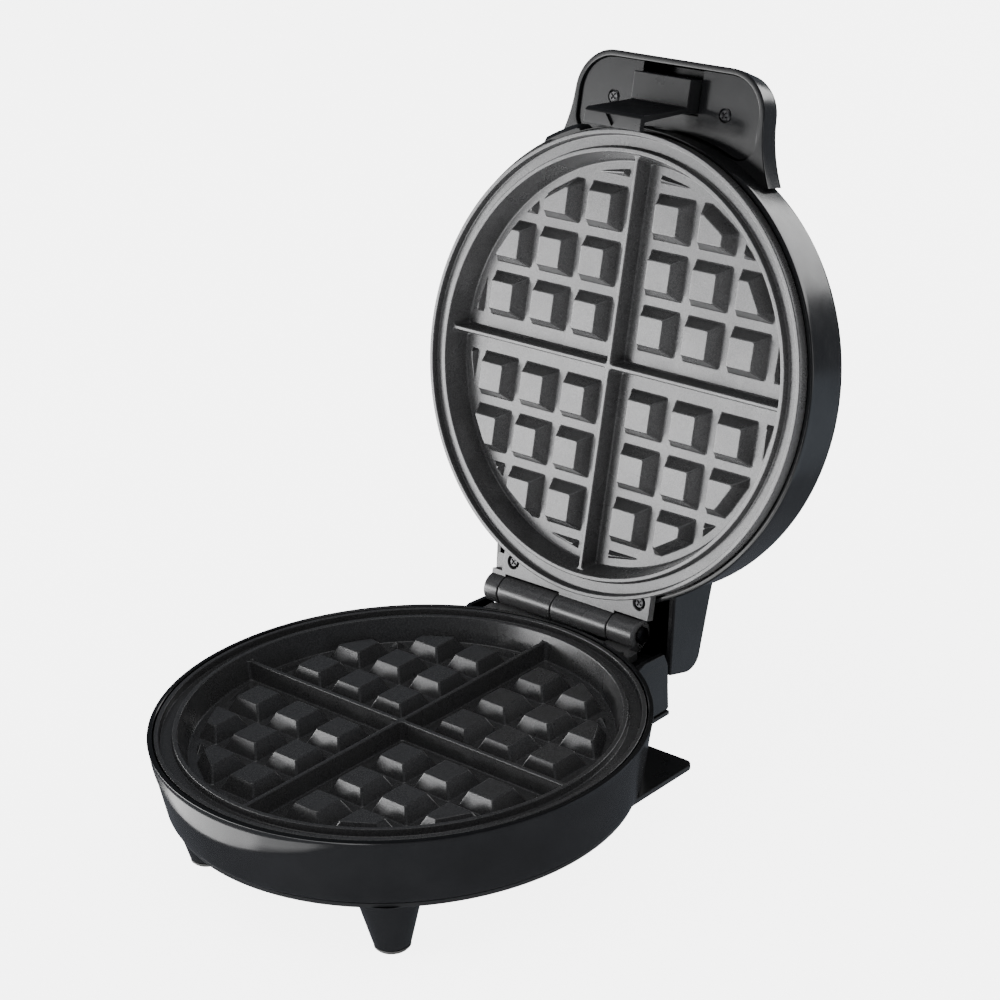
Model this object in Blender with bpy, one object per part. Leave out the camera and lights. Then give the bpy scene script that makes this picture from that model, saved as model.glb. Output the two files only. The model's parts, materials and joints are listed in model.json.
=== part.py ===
"""Round waffle maker, open, as an assembly of separate parts (metres, +Z up, front = -Y).

Everything is drawn about the plate axis at hinge height ("plan" coordinates: origin on the
axis of the round plates, level with the hinge pin), with the lid closed.  The base parts hang
from an empty at that point, and the lid parts hang from an empty on the hinge axis that is
turned back to the open position.
"""
import math

import bmesh
import bpy
from mathutils import Matrix, Vector

# ---------------------------------------------------------------- driving dimensions
OPEN_ANGLE = math.radians(104.8)      # lid opening at its stop
HINGE_Y = 0.1083                      # hinge axis behind the plate axis
HINGE_Z = 0.0600                      # hinge axis above the table
BOX_CENTRE_Y = 0.0474                 # middle of the open appliance, from the plate axis
GAP = 0.0003                          # clearance between touching parts
SEGMENTS = 64                         # facets round the large turned parts
SMALL = 16                            # facets round screws and pins

LOWER_RIM_Z = -0.0031                 # face of the lower plate's rim
PLATE_FLIP = -0.0058                  # z -> PLATE_FLIP - z turns a lower part into an upper part
PLATE_RADIUS = 0.0992
OUTER_LIP = 0.0019                    # width of the plate's raised outer lip
INNER_LIP_IN = 0.0898                 # inner lip of the rim channel
INNER_LIP_OUT = 0.0917
CHANNEL_DEPTH = 0.0030
RECESS_RADIUS = 0.0866                # radius of the recess floor
RECESS_DEPTH = 0.0107
PLATE_FLOOR = 0.0030                  # thickness of the casting under the floor
PLATE_EDGE = 0.0057                   # thickness of the casting at its outer lip
PLATE_SHOULDER = 0.0937               # the underside steps down between these two radii
PLATE_UNDER = 0.0905
GROOVE_DRAFT = 0.0003                 # lean of each side of the rim channel

STUD_PITCH = 0.0235                   # waffle grid
STUD_FIRST = 0.0085                   # divider centre line to the first stud
STUD_SIZE = 0.0190                    # stud width at the floor
STUD_INSET = 0.00325                  # how far each side leans in at the top
STUD_HEIGHT = 0.0065
STUD_CIRCLE = 0.0828                  # studs are trimmed to this circle
STUD_MIN_AREA = 8e-6                  # smaller slivers are left out
DIVIDER_HEIGHT = 0.0079
DIVIDER_TOP = 0.0009                  # half thickness of a divider at its top
DIVIDER_FOOT = 0.0019                 # half thickness of a divider at the floor
RIB_ROOT = 0.0010                     # how far studs and dividers run into the floor
STUD_FILL = 0.62                      # share of a narrow stud's half width that its sides may lean in

FLANGE_HALF = 0.0410                  # hinge flange at the back of each plate
FLANGE_BACK = 0.1011
FLANGE_THICK = 0.0045
FLANGE_STEP = 0.0008                  # the flange face lies this far below the rim
FLANGE_FRONT = (0.0880, 0.0930)       # front edge of the flange at its corners and in the middle
FLANGE_MIDDLE = 0.0300
ARM_NEAR = 0.0930                     # arm that reaches the outermost lid knuckle
ARM_LEVELS = (-0.0082, -0.0035)
ARM_ROOT = 0.0015                     # how far the arm runs into the flange
KNUCKLE_RADIUS = 0.0066
WEB_ROOT = 0.0012                     # how far a knuckle's web runs into its flange
PIN_RADIUS = 0.0025
PIN_CLEARANCE = 0.0001                # running clearance round the hinge pin and latch pin
BASE_KNUCKLES = ((-0.0382, -0.0083), (0.0233, 0.0370))
LID_KNUCKLES = ((-0.0465, -0.0386), (-0.0079, 0.0229))
FLANGE_SCREW = (0.0352, 0.0945)       # one each side
SINK_R = 0.0031                       # countersinks and holes for the flange screws
SINK_DEPTH = 0.0017
SCREW_HOLE_R = 0.0015
SCREW_HEAD_R = 0.0026
SCREW_HEAD_H = 0.0011
SCREW_SHANK_R = 0.0011

WALL_TOP_R = 0.1021                   # round housings at the parting plane
BASE_TOP_Z = -0.0029
BASE_BOTTOM_R = 0.0969
BASE_BOTTOM_Z = -0.0320
LID_EDGE_Z = 0.0021                   # lower edge of the closed lid housing
LID_LEDGE_Z = 0.0033                  # ledge that carries the upper plate
LID_TOP_R = 0.0982
LID_TOP_Z = 0.0311
WALL = 0.0026
LIP_INNER_R = 0.0999                  # inside of the thin lip round each plate
LEDGE_R = 0.0955                      # ledge that carries the plate
LEDGE_THICK = 0.0020
TOP_CHAMFER = 0.0005                  # edge of each round housing at the parting plane
BOTTOM_CHAMFER = 0.0009
CROWN = 0.0042                        # rounding of the lid's upper edge
CROWN_RISE = 0.0006                   # the lid's top is slightly domed
CORNER_DROP = 0.0030                  # slope inside the lid's upper corner
INNER_BORE = 0.0945                   # boxes behind the round walls are trimmed to this radius

CHIN_HALF_ANGLE = math.radians(33)    # lens-shaped catch on the front of the base
CHIN_DROP = 0.0098
CHIN_PROUD = 0.0034
CHIN_EDGE = 0.0006                    # plain wall above the ends of the catch
CHIN_TOP = 0.0012                     # extra plain wall above its middle
CHIN_END = 0.0012                     # depth of its lower edge at the ends
CHIN_SINK = 0.0004                    # its ends lie this far inside the wall
CHIN_ROOT = 0.0013                    # how far it runs into the wall

REAR_HALF = 0.0500                    # rear block of the base and rear box of the lid
REAR_BLOCK_Y = 0.1108
REAR_BLOCK_TOP = -0.0092
BOX_BACK_Y = 0.1237
BOX_CORNER = 0.0085                   # rounded upper back edge of the rear box
CHEEK = ((0.0892, -0.0060), (0.0955, -0.0042), (0.1083, -0.0050), (REAR_BLOCK_Y, -0.0110),
         (REAR_BLOCK_Y, -0.0200), (0.0892, -0.0200))

COVER_THICK = 0.0025
WING_HALF = 0.0863
WING_BACK = 0.0810
WING_FRONT = 0.0200
WING_CORNER = 0.0040
TAIL_FRONT = 0.0700
VENT_PITCH = 0.0080                   # slots in the bottom cover
VENT_COUNT = 7
VENT_HALF = 0.0016
VENT_ENDS = (-0.0260, 0.0060)
FRONT_LEG = (0.0520, -0.0635)
REAR_LEG = (0.0420, 0.0800)
LEG_TOP_R = 0.0132
LEG_FOOT_R = 0.0074
LEG_FOOT_Z = -0.0577
TABLE_Z = -HINGE_Z

HOOD_HALF = 0.0500                    # handle hood at the front of the lid
HOOD_FRONT = 0.1300
HOOD_BACK = 0.0845
HOOD_RIM_Z = 0.0151
HOOD_CORNER = 0.0190
HOOD_WALL = 0.0026
HOOD_FLARE = 0.0072                   # how far its sides spread where they meet the lid
FLARE_FROM = 0.1130                   # the spread starts here
CAVITY_FILLET = 0.0080                # inner corners beside the lid wall
HOOD_RIM_IN = 0.0013                  # the cavity cuts this far into the lid wall
COVER_FACE_Z = 0.0166                 # face of the handle cover inside the hood
COVER_GAP = 0.0004                    # clearance round the handle cover
COVER_PLATE = 0.0020
HANDLE_SCREW = (0.0295, -0.1105)
HANDLE_HEAD_R = 0.0027
HANDLE_SINK_R = 0.0032
HANDLE_BOSS_R = 0.0034                # boss for a handle screw and its pilot hole
PILOT_R = 0.0014
LATCH_SLOT = (-0.1290, -0.1080)       # opening in the handle cover for the latch
LATCH_PLAY = 0.0009                   # clearance round the latch in the handle cover

LATCH_HALF = 0.0150
LATCH_PIN_Y = -0.1160
LATCH_PIN_Z = 0.0215
LATCH_PIN_R = 0.0015
LATCH_SECTION = ((-0.1230, 0.0096), (-0.1112, 0.0096), (-0.1070, -0.0185), (-0.1058, -0.0199),
                 (-0.1003, -0.0199), (-0.1003, -0.0176), (-0.1041, -0.0171), (-0.1052, -0.0120),
                 (-0.1088, 0.0080), (-0.1093, 0.0250), (-0.1200, 0.0250), (-0.1230, 0.0205))
LATCH_NOTCH = ((-0.0036, -0.1052), (0.0036, -0.1052), (0.0, -0.0995))
RIB_AT = (0.0075, 0.0095)             # ribs that carry the latch pin, beside the latch
RIB_HALF = 0.0035

ELEMENT_RING = 0.0620
ELEMENT_TUBE = 0.0032
ELEMENT_START = math.radians(110)     # the ring is open at the back
ELEMENT_SWEEP = math.radians(320)
SHEET = 0.0008                        # reflector pan
PAN_LOW = -0.0272
PAN_HIGH = -0.0178
FUSE_R = 0.0020
LIGHTS = (("power_light", -0.011), ("ready_light", 0.011))
LIGHT_Y = -0.0700
LIGHT_R = 0.0035
TERMINAL_Y = 0.1033                   # terminal block inside the rear block
TERMINAL_SIZE = (0.0300, 0.0075, 0.0090)
GLAND_X = 0.0300                      # bush in the rear wall
GLAND_Z = -0.0235
GLAND_R = 0.0042
GLAND_BORE = 0.0032
GLAND_COLLAR = 0.0058
GLAND_REACH = 0.0040
COVER_HEAD_R = 0.0029
COVER_HOLE_R = 0.0016
COVER_SCREWS = ((-0.0760, -0.0060), (0.0760, -0.0060), (0.0, -0.0800))


# ---------------------------------------------------------------- scene and materials
def clear_scene():
    for obj in list(bpy.data.objects):
        bpy.data.objects.remove(obj, do_unlink=True)


def material(name, colour, roughness, metallic=0.0):
    mat = bpy.data.materials.new(name)
    mat.use_nodes = True
    shader = mat.node_tree.nodes["Principled BSDF"]
    shader.inputs["Base Color"].default_value = (*colour, 1.0)
    shader.inputs["Roughness"].default_value = roughness
    shader.inputs["Metallic"].default_value = metallic
    return mat


def add_object(name, mesh):
    obj = bpy.data.objects.new(name, mesh)
    bpy.context.scene.collection.objects.link(obj)
    return obj


def mesh_from(name, bm):
    bmesh.ops.recalc_face_normals(bm, faces=bm.faces)
    mesh = bpy.data.meshes.new(name)
    bm.to_mesh(mesh)
    bm.free()
    return mesh


def finish(obj, mat, parent=None, pivot=(0.0, 0.0, 0.0), angle=35):
    """Give a part its material and smooth shading, and hang it from a pivot in plan coordinates."""
    obj.data.transform(Matrix.Translation(-Vector(pivot)))
    obj.data.materials.clear()
    obj.data.materials.append(mat)
    obj.data.shade_smooth()
    obj.data.set_sharp_from_angle(angle=math.radians(angle))
    if parent is not None:
        obj.parent = parent
    return obj


# ---------------------------------------------------------------- shape helpers
def turned(name, profile, segments=SEGMENTS, start=0.0):
    """Turn a closed (radius, z) outline about Z.  Points on the axis become one vertex."""
    bm = bmesh.new()
    rings = []
    for radius, z in profile:
        if radius < 1e-7:
            rings.append([bm.verts.new((0.0, 0.0, z))])
            continue
        ring = []
        for i in range(segments):
            a = start + 2 * math.pi * i / segments
            ring.append(bm.verts.new((radius * math.cos(a), radius * math.sin(a), z)))
        rings.append(ring)
    for ring, after in zip(rings, rings[1:] + rings[:1]):
        if len(ring) == 1 and len(after) == 1:
            continue
        for i in range(segments):
            j = (i + 1) % segments
            corners = [ring[i % len(ring)], ring[j % len(ring)]]
            corners += [after[j % len(after)], after[i % len(after)]]
            unique = list(dict.fromkeys(corners))
            bm.faces.new(unique)
    return add_object(name, mesh_from(name, bm))


def prism(name, outline, low, high, axis="Z"):
    """Extrude a closed outline between two levels along an axis."""
    bm = bmesh.new()
    layers = []
    for level in (low, high):
        layers.append([bm.verts.new(on_axis(a, b, level, axis)) for a, b in outline])
    bm.faces.new(layers[0])
    bm.faces.new(list(reversed(layers[1])))
    count = len(outline)
    for i in range(count):
        j = (i + 1) % count
        bm.faces.new((layers[0][i], layers[0][j], layers[1][j], layers[1][i]))
    return add_object(name, mesh_from(name, bm))


def on_axis(a, b, level, axis):
    if axis == "X":
        return (level, a, b)
    if axis == "Y":
        return (a, level, b)
    return (a, b, level)


def block(name, low, high):
    outline = [(low[0], low[1]), (high[0], low[1]), (high[0], high[1]), (low[0], high[1])]
    return prism(name, outline, low[2], high[2])


def rod(name, centre, radius, low, high, axis="Z", segments=SMALL):
    outline = []
    for i in range(segments):
        a = 2 * math.pi * (i + 0.5) / segments
        outline.append((centre[0] + radius * math.cos(a), centre[1] + radius * math.sin(a)))
    return prism(name, outline, low, high, axis)


def layered(name, outlines):
    """Skin a stack of outlines [(z, points)] with the same number of points."""
    bm = bmesh.new()
    rows = [[bm.verts.new((x, y, z)) for x, y in points] for z, points in outlines]
    bm.faces.new(rows[0])
    bm.faces.new(list(reversed(rows[-1])))
    for row, after in zip(rows, rows[1:]):
        for i in range(len(row)):
            j = (i + 1) % len(row)
            bm.faces.new((row[i], row[j], after[j], after[i]))
    return add_object(name, mesh_from(name, bm))


def arc(centre, radius, start, end, steps):
    """Points of an arc, angles in degrees."""
    points = []
    for i in range(steps + 1):
        a = math.radians(start + (end - start) * i / steps)
        points.append((centre[0] + radius * math.cos(a), centre[1] + radius * math.sin(a)))
    return points


def combine(target, other, operation):
    """Boolean one part with another and drop the second one."""
    mod = target.modifiers.new(operation, "BOOLEAN")
    mod.operation = operation
    mod.solver = "EXACT"
    mod.object = other
    depsgraph = bpy.context.evaluated_depsgraph_get()
    evaluated = target.evaluated_get(depsgraph)
    mesh = bpy.data.meshes.new_from_object(evaluated, depsgraph=depsgraph)
    target.modifiers.clear()
    target.data = mesh
    bpy.data.objects.remove(other, do_unlink=True)
    return target


def cut(target, other):
    return combine(target, other, "DIFFERENCE")


def join(target, other):
    return combine(target, other, "UNION")


def flip_to_lid(obj):
    """Turn a part of the base over onto the closed lid."""
    turn = Matrix.Translation((0, 0, PLATE_FLIP)) @ Matrix.Rotation(math.pi, 4, "Y")
    obj.data.transform(turn)
    return obj


# ---------------------------------------------------------------- cooking plates
def trimmed_square(low_x, low_y):
    """Stud outline: a square corner-anchored at (low_x, low_y), trimmed by the stud circle."""
    high_x = low_x + STUD_SIZE
    high_y = low_y + STUD_SIZE
    if math.hypot(low_x, low_y) >= STUD_CIRCLE:
        return []
    if math.hypot(high_x, high_y) <= STUD_CIRCLE:
        return [(low_x, low_y), (high_x, low_y), (high_x, high_y), (low_x, high_y)]
    reach_x = min(high_x, math.sqrt(STUD_CIRCLE**2 - low_y**2))
    reach_y = min(high_y, math.sqrt(STUD_CIRCLE**2 - low_x**2))
    points = [(low_x, low_y), (reach_x, low_y)]
    a0 = math.atan2(low_y, reach_x)
    if reach_x >= high_x - 1e-9:
        edge = math.sqrt(STUD_CIRCLE**2 - high_x**2)
        points.append((high_x, edge))
        a0 = math.atan2(edge, high_x)
    a1 = math.atan2(reach_y, low_x)
    if reach_y >= high_y - 1e-9:
        a1 = math.atan2(high_y, math.sqrt(STUD_CIRCLE**2 - high_y**2))
    steps = 3
    for i in range(1, steps):
        a = a0 + (a1 - a0) * i / steps
        points.append((STUD_CIRCLE * math.cos(a), STUD_CIRCLE * math.sin(a)))
    points.append((STUD_CIRCLE * math.cos(a1), STUD_CIRCLE * math.sin(a1)))
    if reach_y >= high_y - 1e-9:
        points.append((low_x, high_y))
    return points


def area_and_centre(points):
    area = 0.0
    cx = 0.0
    cy = 0.0
    for (x0, y0), (x1, y1) in zip(points, points[1:] + points[:1]):
        cross = x0 * y1 - x1 * y0
        area += cross / 2
        cx += (x0 + x1) * cross / 6
        cy += (y0 + y1) * cross / 6
    return area, (cx / area, cy / area)


def inset(points, distance):
    """Move every side of a convex, anticlockwise outline inwards."""
    moved = []
    count = len(points)
    for i in range(count):
        before = Vector(points[i - 1])
        here = Vector(points[i])
        after = Vector(points[(i + 1) % count])
        d0 = (here - before).normalized()
        d1 = (after - here).normalized()
        n0 = Vector((-d0.y, d0.x))
        n1 = Vector((-d1.y, d1.x))
        half = n0 + n1
        moved.append(tuple(here + half * (distance / (1.0 + n0.dot(n1)))))
    return moved


def inner_radius(points, centre):
    """Shortest distance from the centre to a side."""
    best = 1.0
    for (x0, y0), (x1, y1) in zip(points, points[1:] + points[:1]):
        length = math.hypot(x1 - x0, y1 - y0)
        side = abs((x1 - x0) * (y0 - centre[1]) - (x0 - centre[0]) * (y1 - y0)) / length
        best = min(best, side)
    return best


def stud_outlines():
    """Outlines of the studs of one quadrant, as (outline, inset, height)."""
    studs = []
    for i in range(4):
        for j in range(4):
            points = trimmed_square(STUD_FIRST + i * STUD_PITCH, STUD_FIRST + j * STUD_PITCH)
            if not points:
                continue
            area, centre = area_and_centre(points)
            if area < STUD_MIN_AREA:
                continue
            room = inner_radius(points, centre)
            lean = min(STUD_INSET, STUD_FILL * room)
            studs.append((points, lean, STUD_HEIGHT * lean / STUD_INSET))
    return studs


def add_stud(bm, outline, lean, height, floor, sign_x, sign_y):
    rows = []
    for z, distance in ((floor - RIB_ROOT, 0.0), (floor, 0.0), (floor + height, lean)):
        rows.append([bm.verts.new((x * sign_x, y * sign_y, z)) for x, y in inset(outline, distance)])
    bm.faces.new(rows[0])
    bm.faces.new(list(reversed(rows[-1])))
    for row, after in zip(rows, rows[1:]):
        for i in range(len(outline)):
            j = (i + 1) % len(outline)
            bm.faces.new((row[i], row[j], after[j], after[i]))


def make_studs(floor):
    bm = bmesh.new()
    for outline, lean, height in stud_outlines():
        for sign_x in (1, -1):
            for sign_y in (1, -1):
                add_stud(bm, outline, lean, height, floor, sign_x, sign_y)
    return add_object("studs", mesh_from("studs", bm))


def make_divider(floor, along_x):
    low = floor - RIB_ROOT
    high = floor + DIVIDER_HEIGHT
    section = [(-DIVIDER_FOOT, low), (DIVIDER_FOOT, low), (DIVIDER_TOP, high), (-DIVIDER_TOP, high)]
    return prism("divider", section, -INNER_LIP_IN, INNER_LIP_IN, "X" if along_x else "Y")


def make_knuckle(x_range, axis_z, web_low, web_high):
    """A hinge barrel with the web that joins it to its flange."""
    knuckle = rod("knuckle", (HINGE_Y, axis_z), KNUCKLE_RADIUS, *x_range, axis="X", segments=24)
    web = block("web", (x_range[0], FLANGE_BACK - WEB_ROOT, web_low), (x_range[1], HINGE_Y, web_high))
    return join(knuckle, web)


def make_plate(name, knuckles, mirrored):
    """One cast cooking plate, face up, with its rear hinge flange."""
    rim = LOWER_RIM_Z
    floor = rim - RECESS_DEPTH
    under = floor - PLATE_FLOOR
    lip_in = PLATE_RADIUS - OUTER_LIP
    profile = [(0.0, floor), (RECESS_RADIUS, floor), (INNER_LIP_IN, rim), (INNER_LIP_OUT, rim)]
    channel = rim - CHANNEL_DEPTH
    profile += [(INNER_LIP_OUT + GROOVE_DRAFT, channel), (lip_in - GROOVE_DRAFT, channel)]
    profile += [(lip_in, rim), (PLATE_RADIUS, rim), (PLATE_RADIUS, rim - PLATE_EDGE)]
    profile += [(PLATE_SHOULDER, rim - PLATE_EDGE), (PLATE_UNDER, under), (0.0, under)]
    plate = turned(name, profile)
    join(plate, make_studs(floor))
    join(plate, make_divider(floor, True))
    join(plate, make_divider(floor, False))
    face = rim - FLANGE_STEP
    flange = prism("flange", flange_outline(), rim - FLANGE_THICK, face)
    join(plate, flange)
    axis_z = PLATE_FLIP if mirrored else 0.0
    for x_range in knuckles:
        x_low, x_high = sorted((-x_range[0], -x_range[1])) if mirrored else x_range
        join(plate, make_knuckle((x_low, x_high), axis_z, rim - FLANGE_THICK, face))
    if mirrored:
        outer = -LID_KNUCKLES[0][0]
        inner = FLANGE_HALF - ARM_ROOT
        arm = block("arm", (inner, ARM_NEAR, rim + ARM_LEVELS[0]), (outer, FLANGE_BACK, rim + ARM_LEVELS[1]))
        join(plate, arm)
    drill_flange(plate, face)
    bore = rod("bore", (HINGE_Y, axis_z), PIN_RADIUS + PIN_CLEARANCE, -0.06, 0.06, axis="X", segments=20)
    return cut(plate, bore)


def flange_outline():
    """Plan of the hinge flange: it starts inside the rim and has small square corners."""
    corner, middle = FLANGE_FRONT
    return [(-FLANGE_HALF, corner), (-FLANGE_MIDDLE, middle), (FLANGE_MIDDLE, middle), (FLANGE_HALF, corner),
            (FLANGE_HALF, FLANGE_BACK), (-FLANGE_HALF, FLANGE_BACK)]


def drill_flange(plate, face):
    for side in (-1, 1):
        centre = (side * FLANGE_SCREW[0], FLANGE_SCREW[1])
        cut(plate, rod("sink", centre, SINK_R, face - SINK_DEPTH, face + 0.0010))
        cut(plate, rod("hole", centre, SCREW_HOLE_R, face - 0.0100, face + 0.0010))


# ---------------------------------------------------------------- base
def wall_radius(z):
    """Outer radius of the base wall at a height."""
    share = (BASE_TOP_Z - z) / (BASE_TOP_Z - BASE_BOTTOM_Z)
    return WALL_TOP_R + (BASE_BOTTOM_R - WALL_TOP_R) * share


def base_ring():
    """Tapered round wall with the thin lip and the ledge that carry the lower plate."""
    ledge = LOWER_RIM_Z - PLATE_EDGE - GAP
    under = ledge - LEDGE_THICK
    profile = [(LIP_INNER_R, BASE_TOP_Z), (WALL_TOP_R - TOP_CHAMFER, BASE_TOP_Z)]
    profile += [(WALL_TOP_R, BASE_TOP_Z - TOP_CHAMFER), (BASE_BOTTOM_R, BASE_BOTTOM_Z + BOTTOM_CHAMFER)]
    profile += [(BASE_BOTTOM_R - BOTTOM_CHAMFER, BASE_BOTTOM_Z), (BASE_BOTTOM_R - WALL, BASE_BOTTOM_Z)]
    profile += [(wall_radius(under) - WALL, under), (LEDGE_R, under), (LEDGE_R, ledge), (LIP_INNER_R, ledge)]
    return turned("base_housing", profile)


def chin():
    """Lens-shaped catch on the front: a slope over a ledge that the latch hooks under."""
    bm = bmesh.new()
    rows = []
    steps = 22
    for i in range(steps + 1):
        turn = -1.0 + 2.0 * i / steps
        swell = math.cos(turn * math.pi / 2)
        a = turn * CHIN_HALF_ANGLE
        top = BASE_TOP_Z - CHIN_EDGE - CHIN_TOP * swell
        low = BASE_TOP_Z - CHIN_END - CHIN_DROP * swell
        out = wall_radius(low) - CHIN_SINK + CHIN_PROUD * swell
        section = [(wall_radius(top) - CHIN_ROOT, top), (wall_radius(top) - 0.0001, top)]
        section += [(out, low + 0.0004), (out - 0.0002, low), (wall_radius(low) - CHIN_ROOT, low - 0.0001)]
        rows.append([bm.verts.new((r * math.sin(a), -r * math.cos(a), z)) for r, z in section])
    bm.faces.new(rows[0])
    bm.faces.new(list(reversed(rows[-1])))
    for row, after in zip(rows, rows[1:]):
        for i in range(len(row)):
            j = (i + 1) % len(row)
            bm.faces.new((row[i], row[j], after[j], after[i]))
    return add_object("chin", mesh_from("chin", bm))


def make_base_housing():
    housing = base_ring()
    join(housing, chin())
    bottom = BASE_BOTTOM_Z
    rear = block("rear", (-REAR_HALF, 0.0830, bottom), (REAR_HALF, REAR_BLOCK_Y, REAR_BLOCK_TOP))
    inside = REAR_HALF - WALL
    hollow = block("hollow", (-inside, 0.0700, bottom - 0.001),
                   (inside, REAR_BLOCK_Y - WALL, REAR_BLOCK_TOP - WALL))
    cut(rear, hollow)
    join(housing, cut(rear, rod("bore", (0.0, 0.0), INNER_BORE, bottom - 0.001, 0.0, segments=SEGMENTS)))
    for side in (-1, 1):
        centre = (side * FLANGE_SCREW[0], FLANGE_SCREW[1])
        join(housing, gusset(side))
        join(housing, rod("boss", centre, 0.0032, -0.0180, REAR_BLOCK_TOP))
    notch = block("notch", (-REAR_HALF + WALL, 0.0860, -0.0079), (REAR_HALF - WALL, 0.1200, 0.0050))
    cut(housing, notch)
    for side in (-1, 1):
        centre = (side * FLANGE_SCREW[0], FLANGE_SCREW[1])
        cut(housing, rod("hole", centre, SCREW_HOLE_R, -0.0150, 0.0))
    cut(housing, rod("gland_hole", (GLAND_X, GLAND_Z), GLAND_R + GAP, 0.1060, 0.1150, axis="Y"))
    return housing


def gusset(side):
    """Sloping cheek beside each end of the hinge."""
    inner = side * (REAR_HALF - WALL - 0.0004)
    outer = side * REAR_HALF
    return prism("gusset", list(CHEEK), min(inner, outer), max(inner, outer), "X")


def rounded_box(half_x, y_low, y_high, radius, steps=4):
    outline = arc((half_x - radius, y_high - radius), radius, 0, 90, steps)
    outline += arc((-half_x + radius, y_high - radius), radius, 90, 180, steps)
    outline += [(-half_x, y_low), (half_x, y_low)]
    return outline


def make_base_cover():
    """Bottom plate with its rear wings, its tail under the hinge and four tapered legs."""
    top = BASE_BOTTOM_Z - GAP
    low = top - COVER_THICK
    cover = turned("base_cover", [(0.0, top), (0.0961, top), (0.0953, low), (0.0, low)])
    join(cover, prism("wings", rounded_box(WING_HALF, WING_FRONT, WING_BACK, WING_CORNER), low, top))
    join(cover, block("tail", (-REAR_HALF, TAIL_FRONT, low), (REAR_HALF, REAR_BLOCK_Y, top)))
    root = low + 0.0010
    for x, y in leg_places():
        profile = [(0.0, root), (LEG_TOP_R, root), (LEG_FOOT_R, LEG_FOOT_Z), (0.0, LEG_FOOT_Z)]
        leg = turned("leg", profile, 24)
        leg.data.transform(Matrix.Translation((x, y, 0.0)))
        join(cover, leg)
    for i in range(VENT_COUNT):
        x = VENT_PITCH * (i - (VENT_COUNT - 1) / 2)
        near = (x - VENT_HALF, VENT_ENDS[0], low - 0.001)
        far = (x + VENT_HALF, VENT_ENDS[1], top + 0.001)
        cut(cover, block("vent", near, far))
    for centre in COVER_SCREWS:
        cut(cover, rod("sink", centre, 0.0034, low - 0.001, low + 0.0012))
        cut(cover, rod("hole", centre, COVER_HOLE_R, low - 0.001, top + 0.001))
    return cover


def leg_places():
    places = []
    for x, y in (FRONT_LEG, REAR_LEG):
        places += [(-x, y), (x, y)]
    return places


def make_foot_pad(name, place):
    low = TABLE_Z
    top = LEG_FOOT_Z - GAP
    profile = [(0.0, top), (0.0073, top), (0.0073, low + 0.0012), (0.0064, low + 0.0003), (0.0056, low)]
    profile.append((0.0, low))
    pad = turned(name, profile, 24)
    pad.data.transform(Matrix.Translation((place[0], place[1], 0.0)))
    return pad


def make_screw(name, centre, head_r, head_z, head_h, shank_r, shank_len, up=1):
    """Pan-head screw with a cross recess; up is the side its head faces."""
    base_z = head_z - up * head_h
    profile = [(0.0, head_z), (head_r * 0.72, head_z), (head_r, head_z - up * head_h * 0.45)]
    profile += [(head_r, base_z), (shank_r, base_z), (shank_r, base_z - up * shank_len)]
    profile.append((0.0, base_z - up * shank_len))
    screw = turned(name, profile, SMALL)
    arm = head_r * 0.62
    slot = head_r * 0.15
    deep = head_z - up * head_h * 0.6
    z_low, z_high = sorted((deep, head_z + up * 0.001))
    cross = block("cross", (-arm, -slot, z_low), (arm, slot, z_high))
    join(cross, block("cross2", (-slot, -arm, z_low), (slot, arm, z_high)))
    cross.data.transform(Matrix.Rotation(math.radians(38), 4, "Z"))
    cut(screw, cross)
    screw.data.transform(Matrix.Translation((centre[0], centre[1], 0.0)))
    return screw


def make_element(name):
    """Tubular heater bent to an open ring under the plate, with two straight terminals."""
    z = LOWER_RIM_Z - RECESS_DEPTH - PLATE_FLOOR - GAP - ELEMENT_TUBE
    bm = bmesh.new()
    rows = []
    sides = 8
    steps = 30
    up = Vector((0.0, 0.0, 1.0))
    for i in range(steps + 1):
        a = ELEMENT_START + ELEMENT_SWEEP * i / steps
        centre = Vector((ELEMENT_RING * math.cos(a), ELEMENT_RING * math.sin(a), z))
        out = Vector((math.cos(a), math.sin(a), 0.0))
        row = []
        for k in range(sides):
            b = 2 * math.pi * (k + 0.5) / sides
            spoke = out * math.cos(b) + up * math.sin(b)
            row.append(bm.verts.new(centre + spoke * ELEMENT_TUBE))
        rows.append(row)
    bm.faces.new(rows[0])
    bm.faces.new(list(reversed(rows[-1])))
    for row, after in zip(rows, rows[1:]):
        for k in range(sides):
            j = (k + 1) % sides
            bm.faces.new((row[k], row[j], after[j], after[k]))
    return add_object(name, mesh_from(name, bm))


def make_reflector(name):
    """Shallow pressed pan that keeps the heat on the plate."""
    low = PAN_LOW
    high = PAN_HIGH
    profile = [(0.0, low), (0.0780, low), (0.0860, high), (0.0880, high), (0.0880, high + SHEET)]
    profile += [(0.0856, high + SHEET), (0.0776, low + SHEET), (0.0, low + SHEET)]
    return turned(name, profile, 48)


def make_thermostat():
    under = LOWER_RIM_Z - RECESS_DEPTH - PLATE_FLOOR - GAP
    profile = [(0.0, under), (0.0080, under), (0.0080, under - 0.0050), (0.0050, under - 0.0062)]
    profile.append((0.0, under - 0.0062))
    return turned("thermostat", profile, 20)


def make_fuse():
    under = LOWER_RIM_Z - RECESS_DEPTH - PLATE_FLOOR - GAP
    return rod("thermal_fuse", (-0.0200, under - 0.0021), FUSE_R, 0.0060, 0.0200, axis="Y", segments=12)


def make_terminal_block():
    low = BASE_BOTTOM_Z + GAP
    high = low + TERMINAL_SIZE[2]
    near = TERMINAL_Y - TERMINAL_SIZE[1] / 2
    far = TERMINAL_Y + TERMINAL_SIZE[1] / 2
    half = TERMINAL_SIZE[0] / 2
    body = block("terminal_block", (-half, near, low), (half, far, high))
    for x in (-half * 0.6, 0.0, half * 0.6):
        cut(body, rod("well", (x, TERMINAL_Y), 0.0024, high - 0.0040, high + 0.0010, segments=12))
    return body


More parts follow.
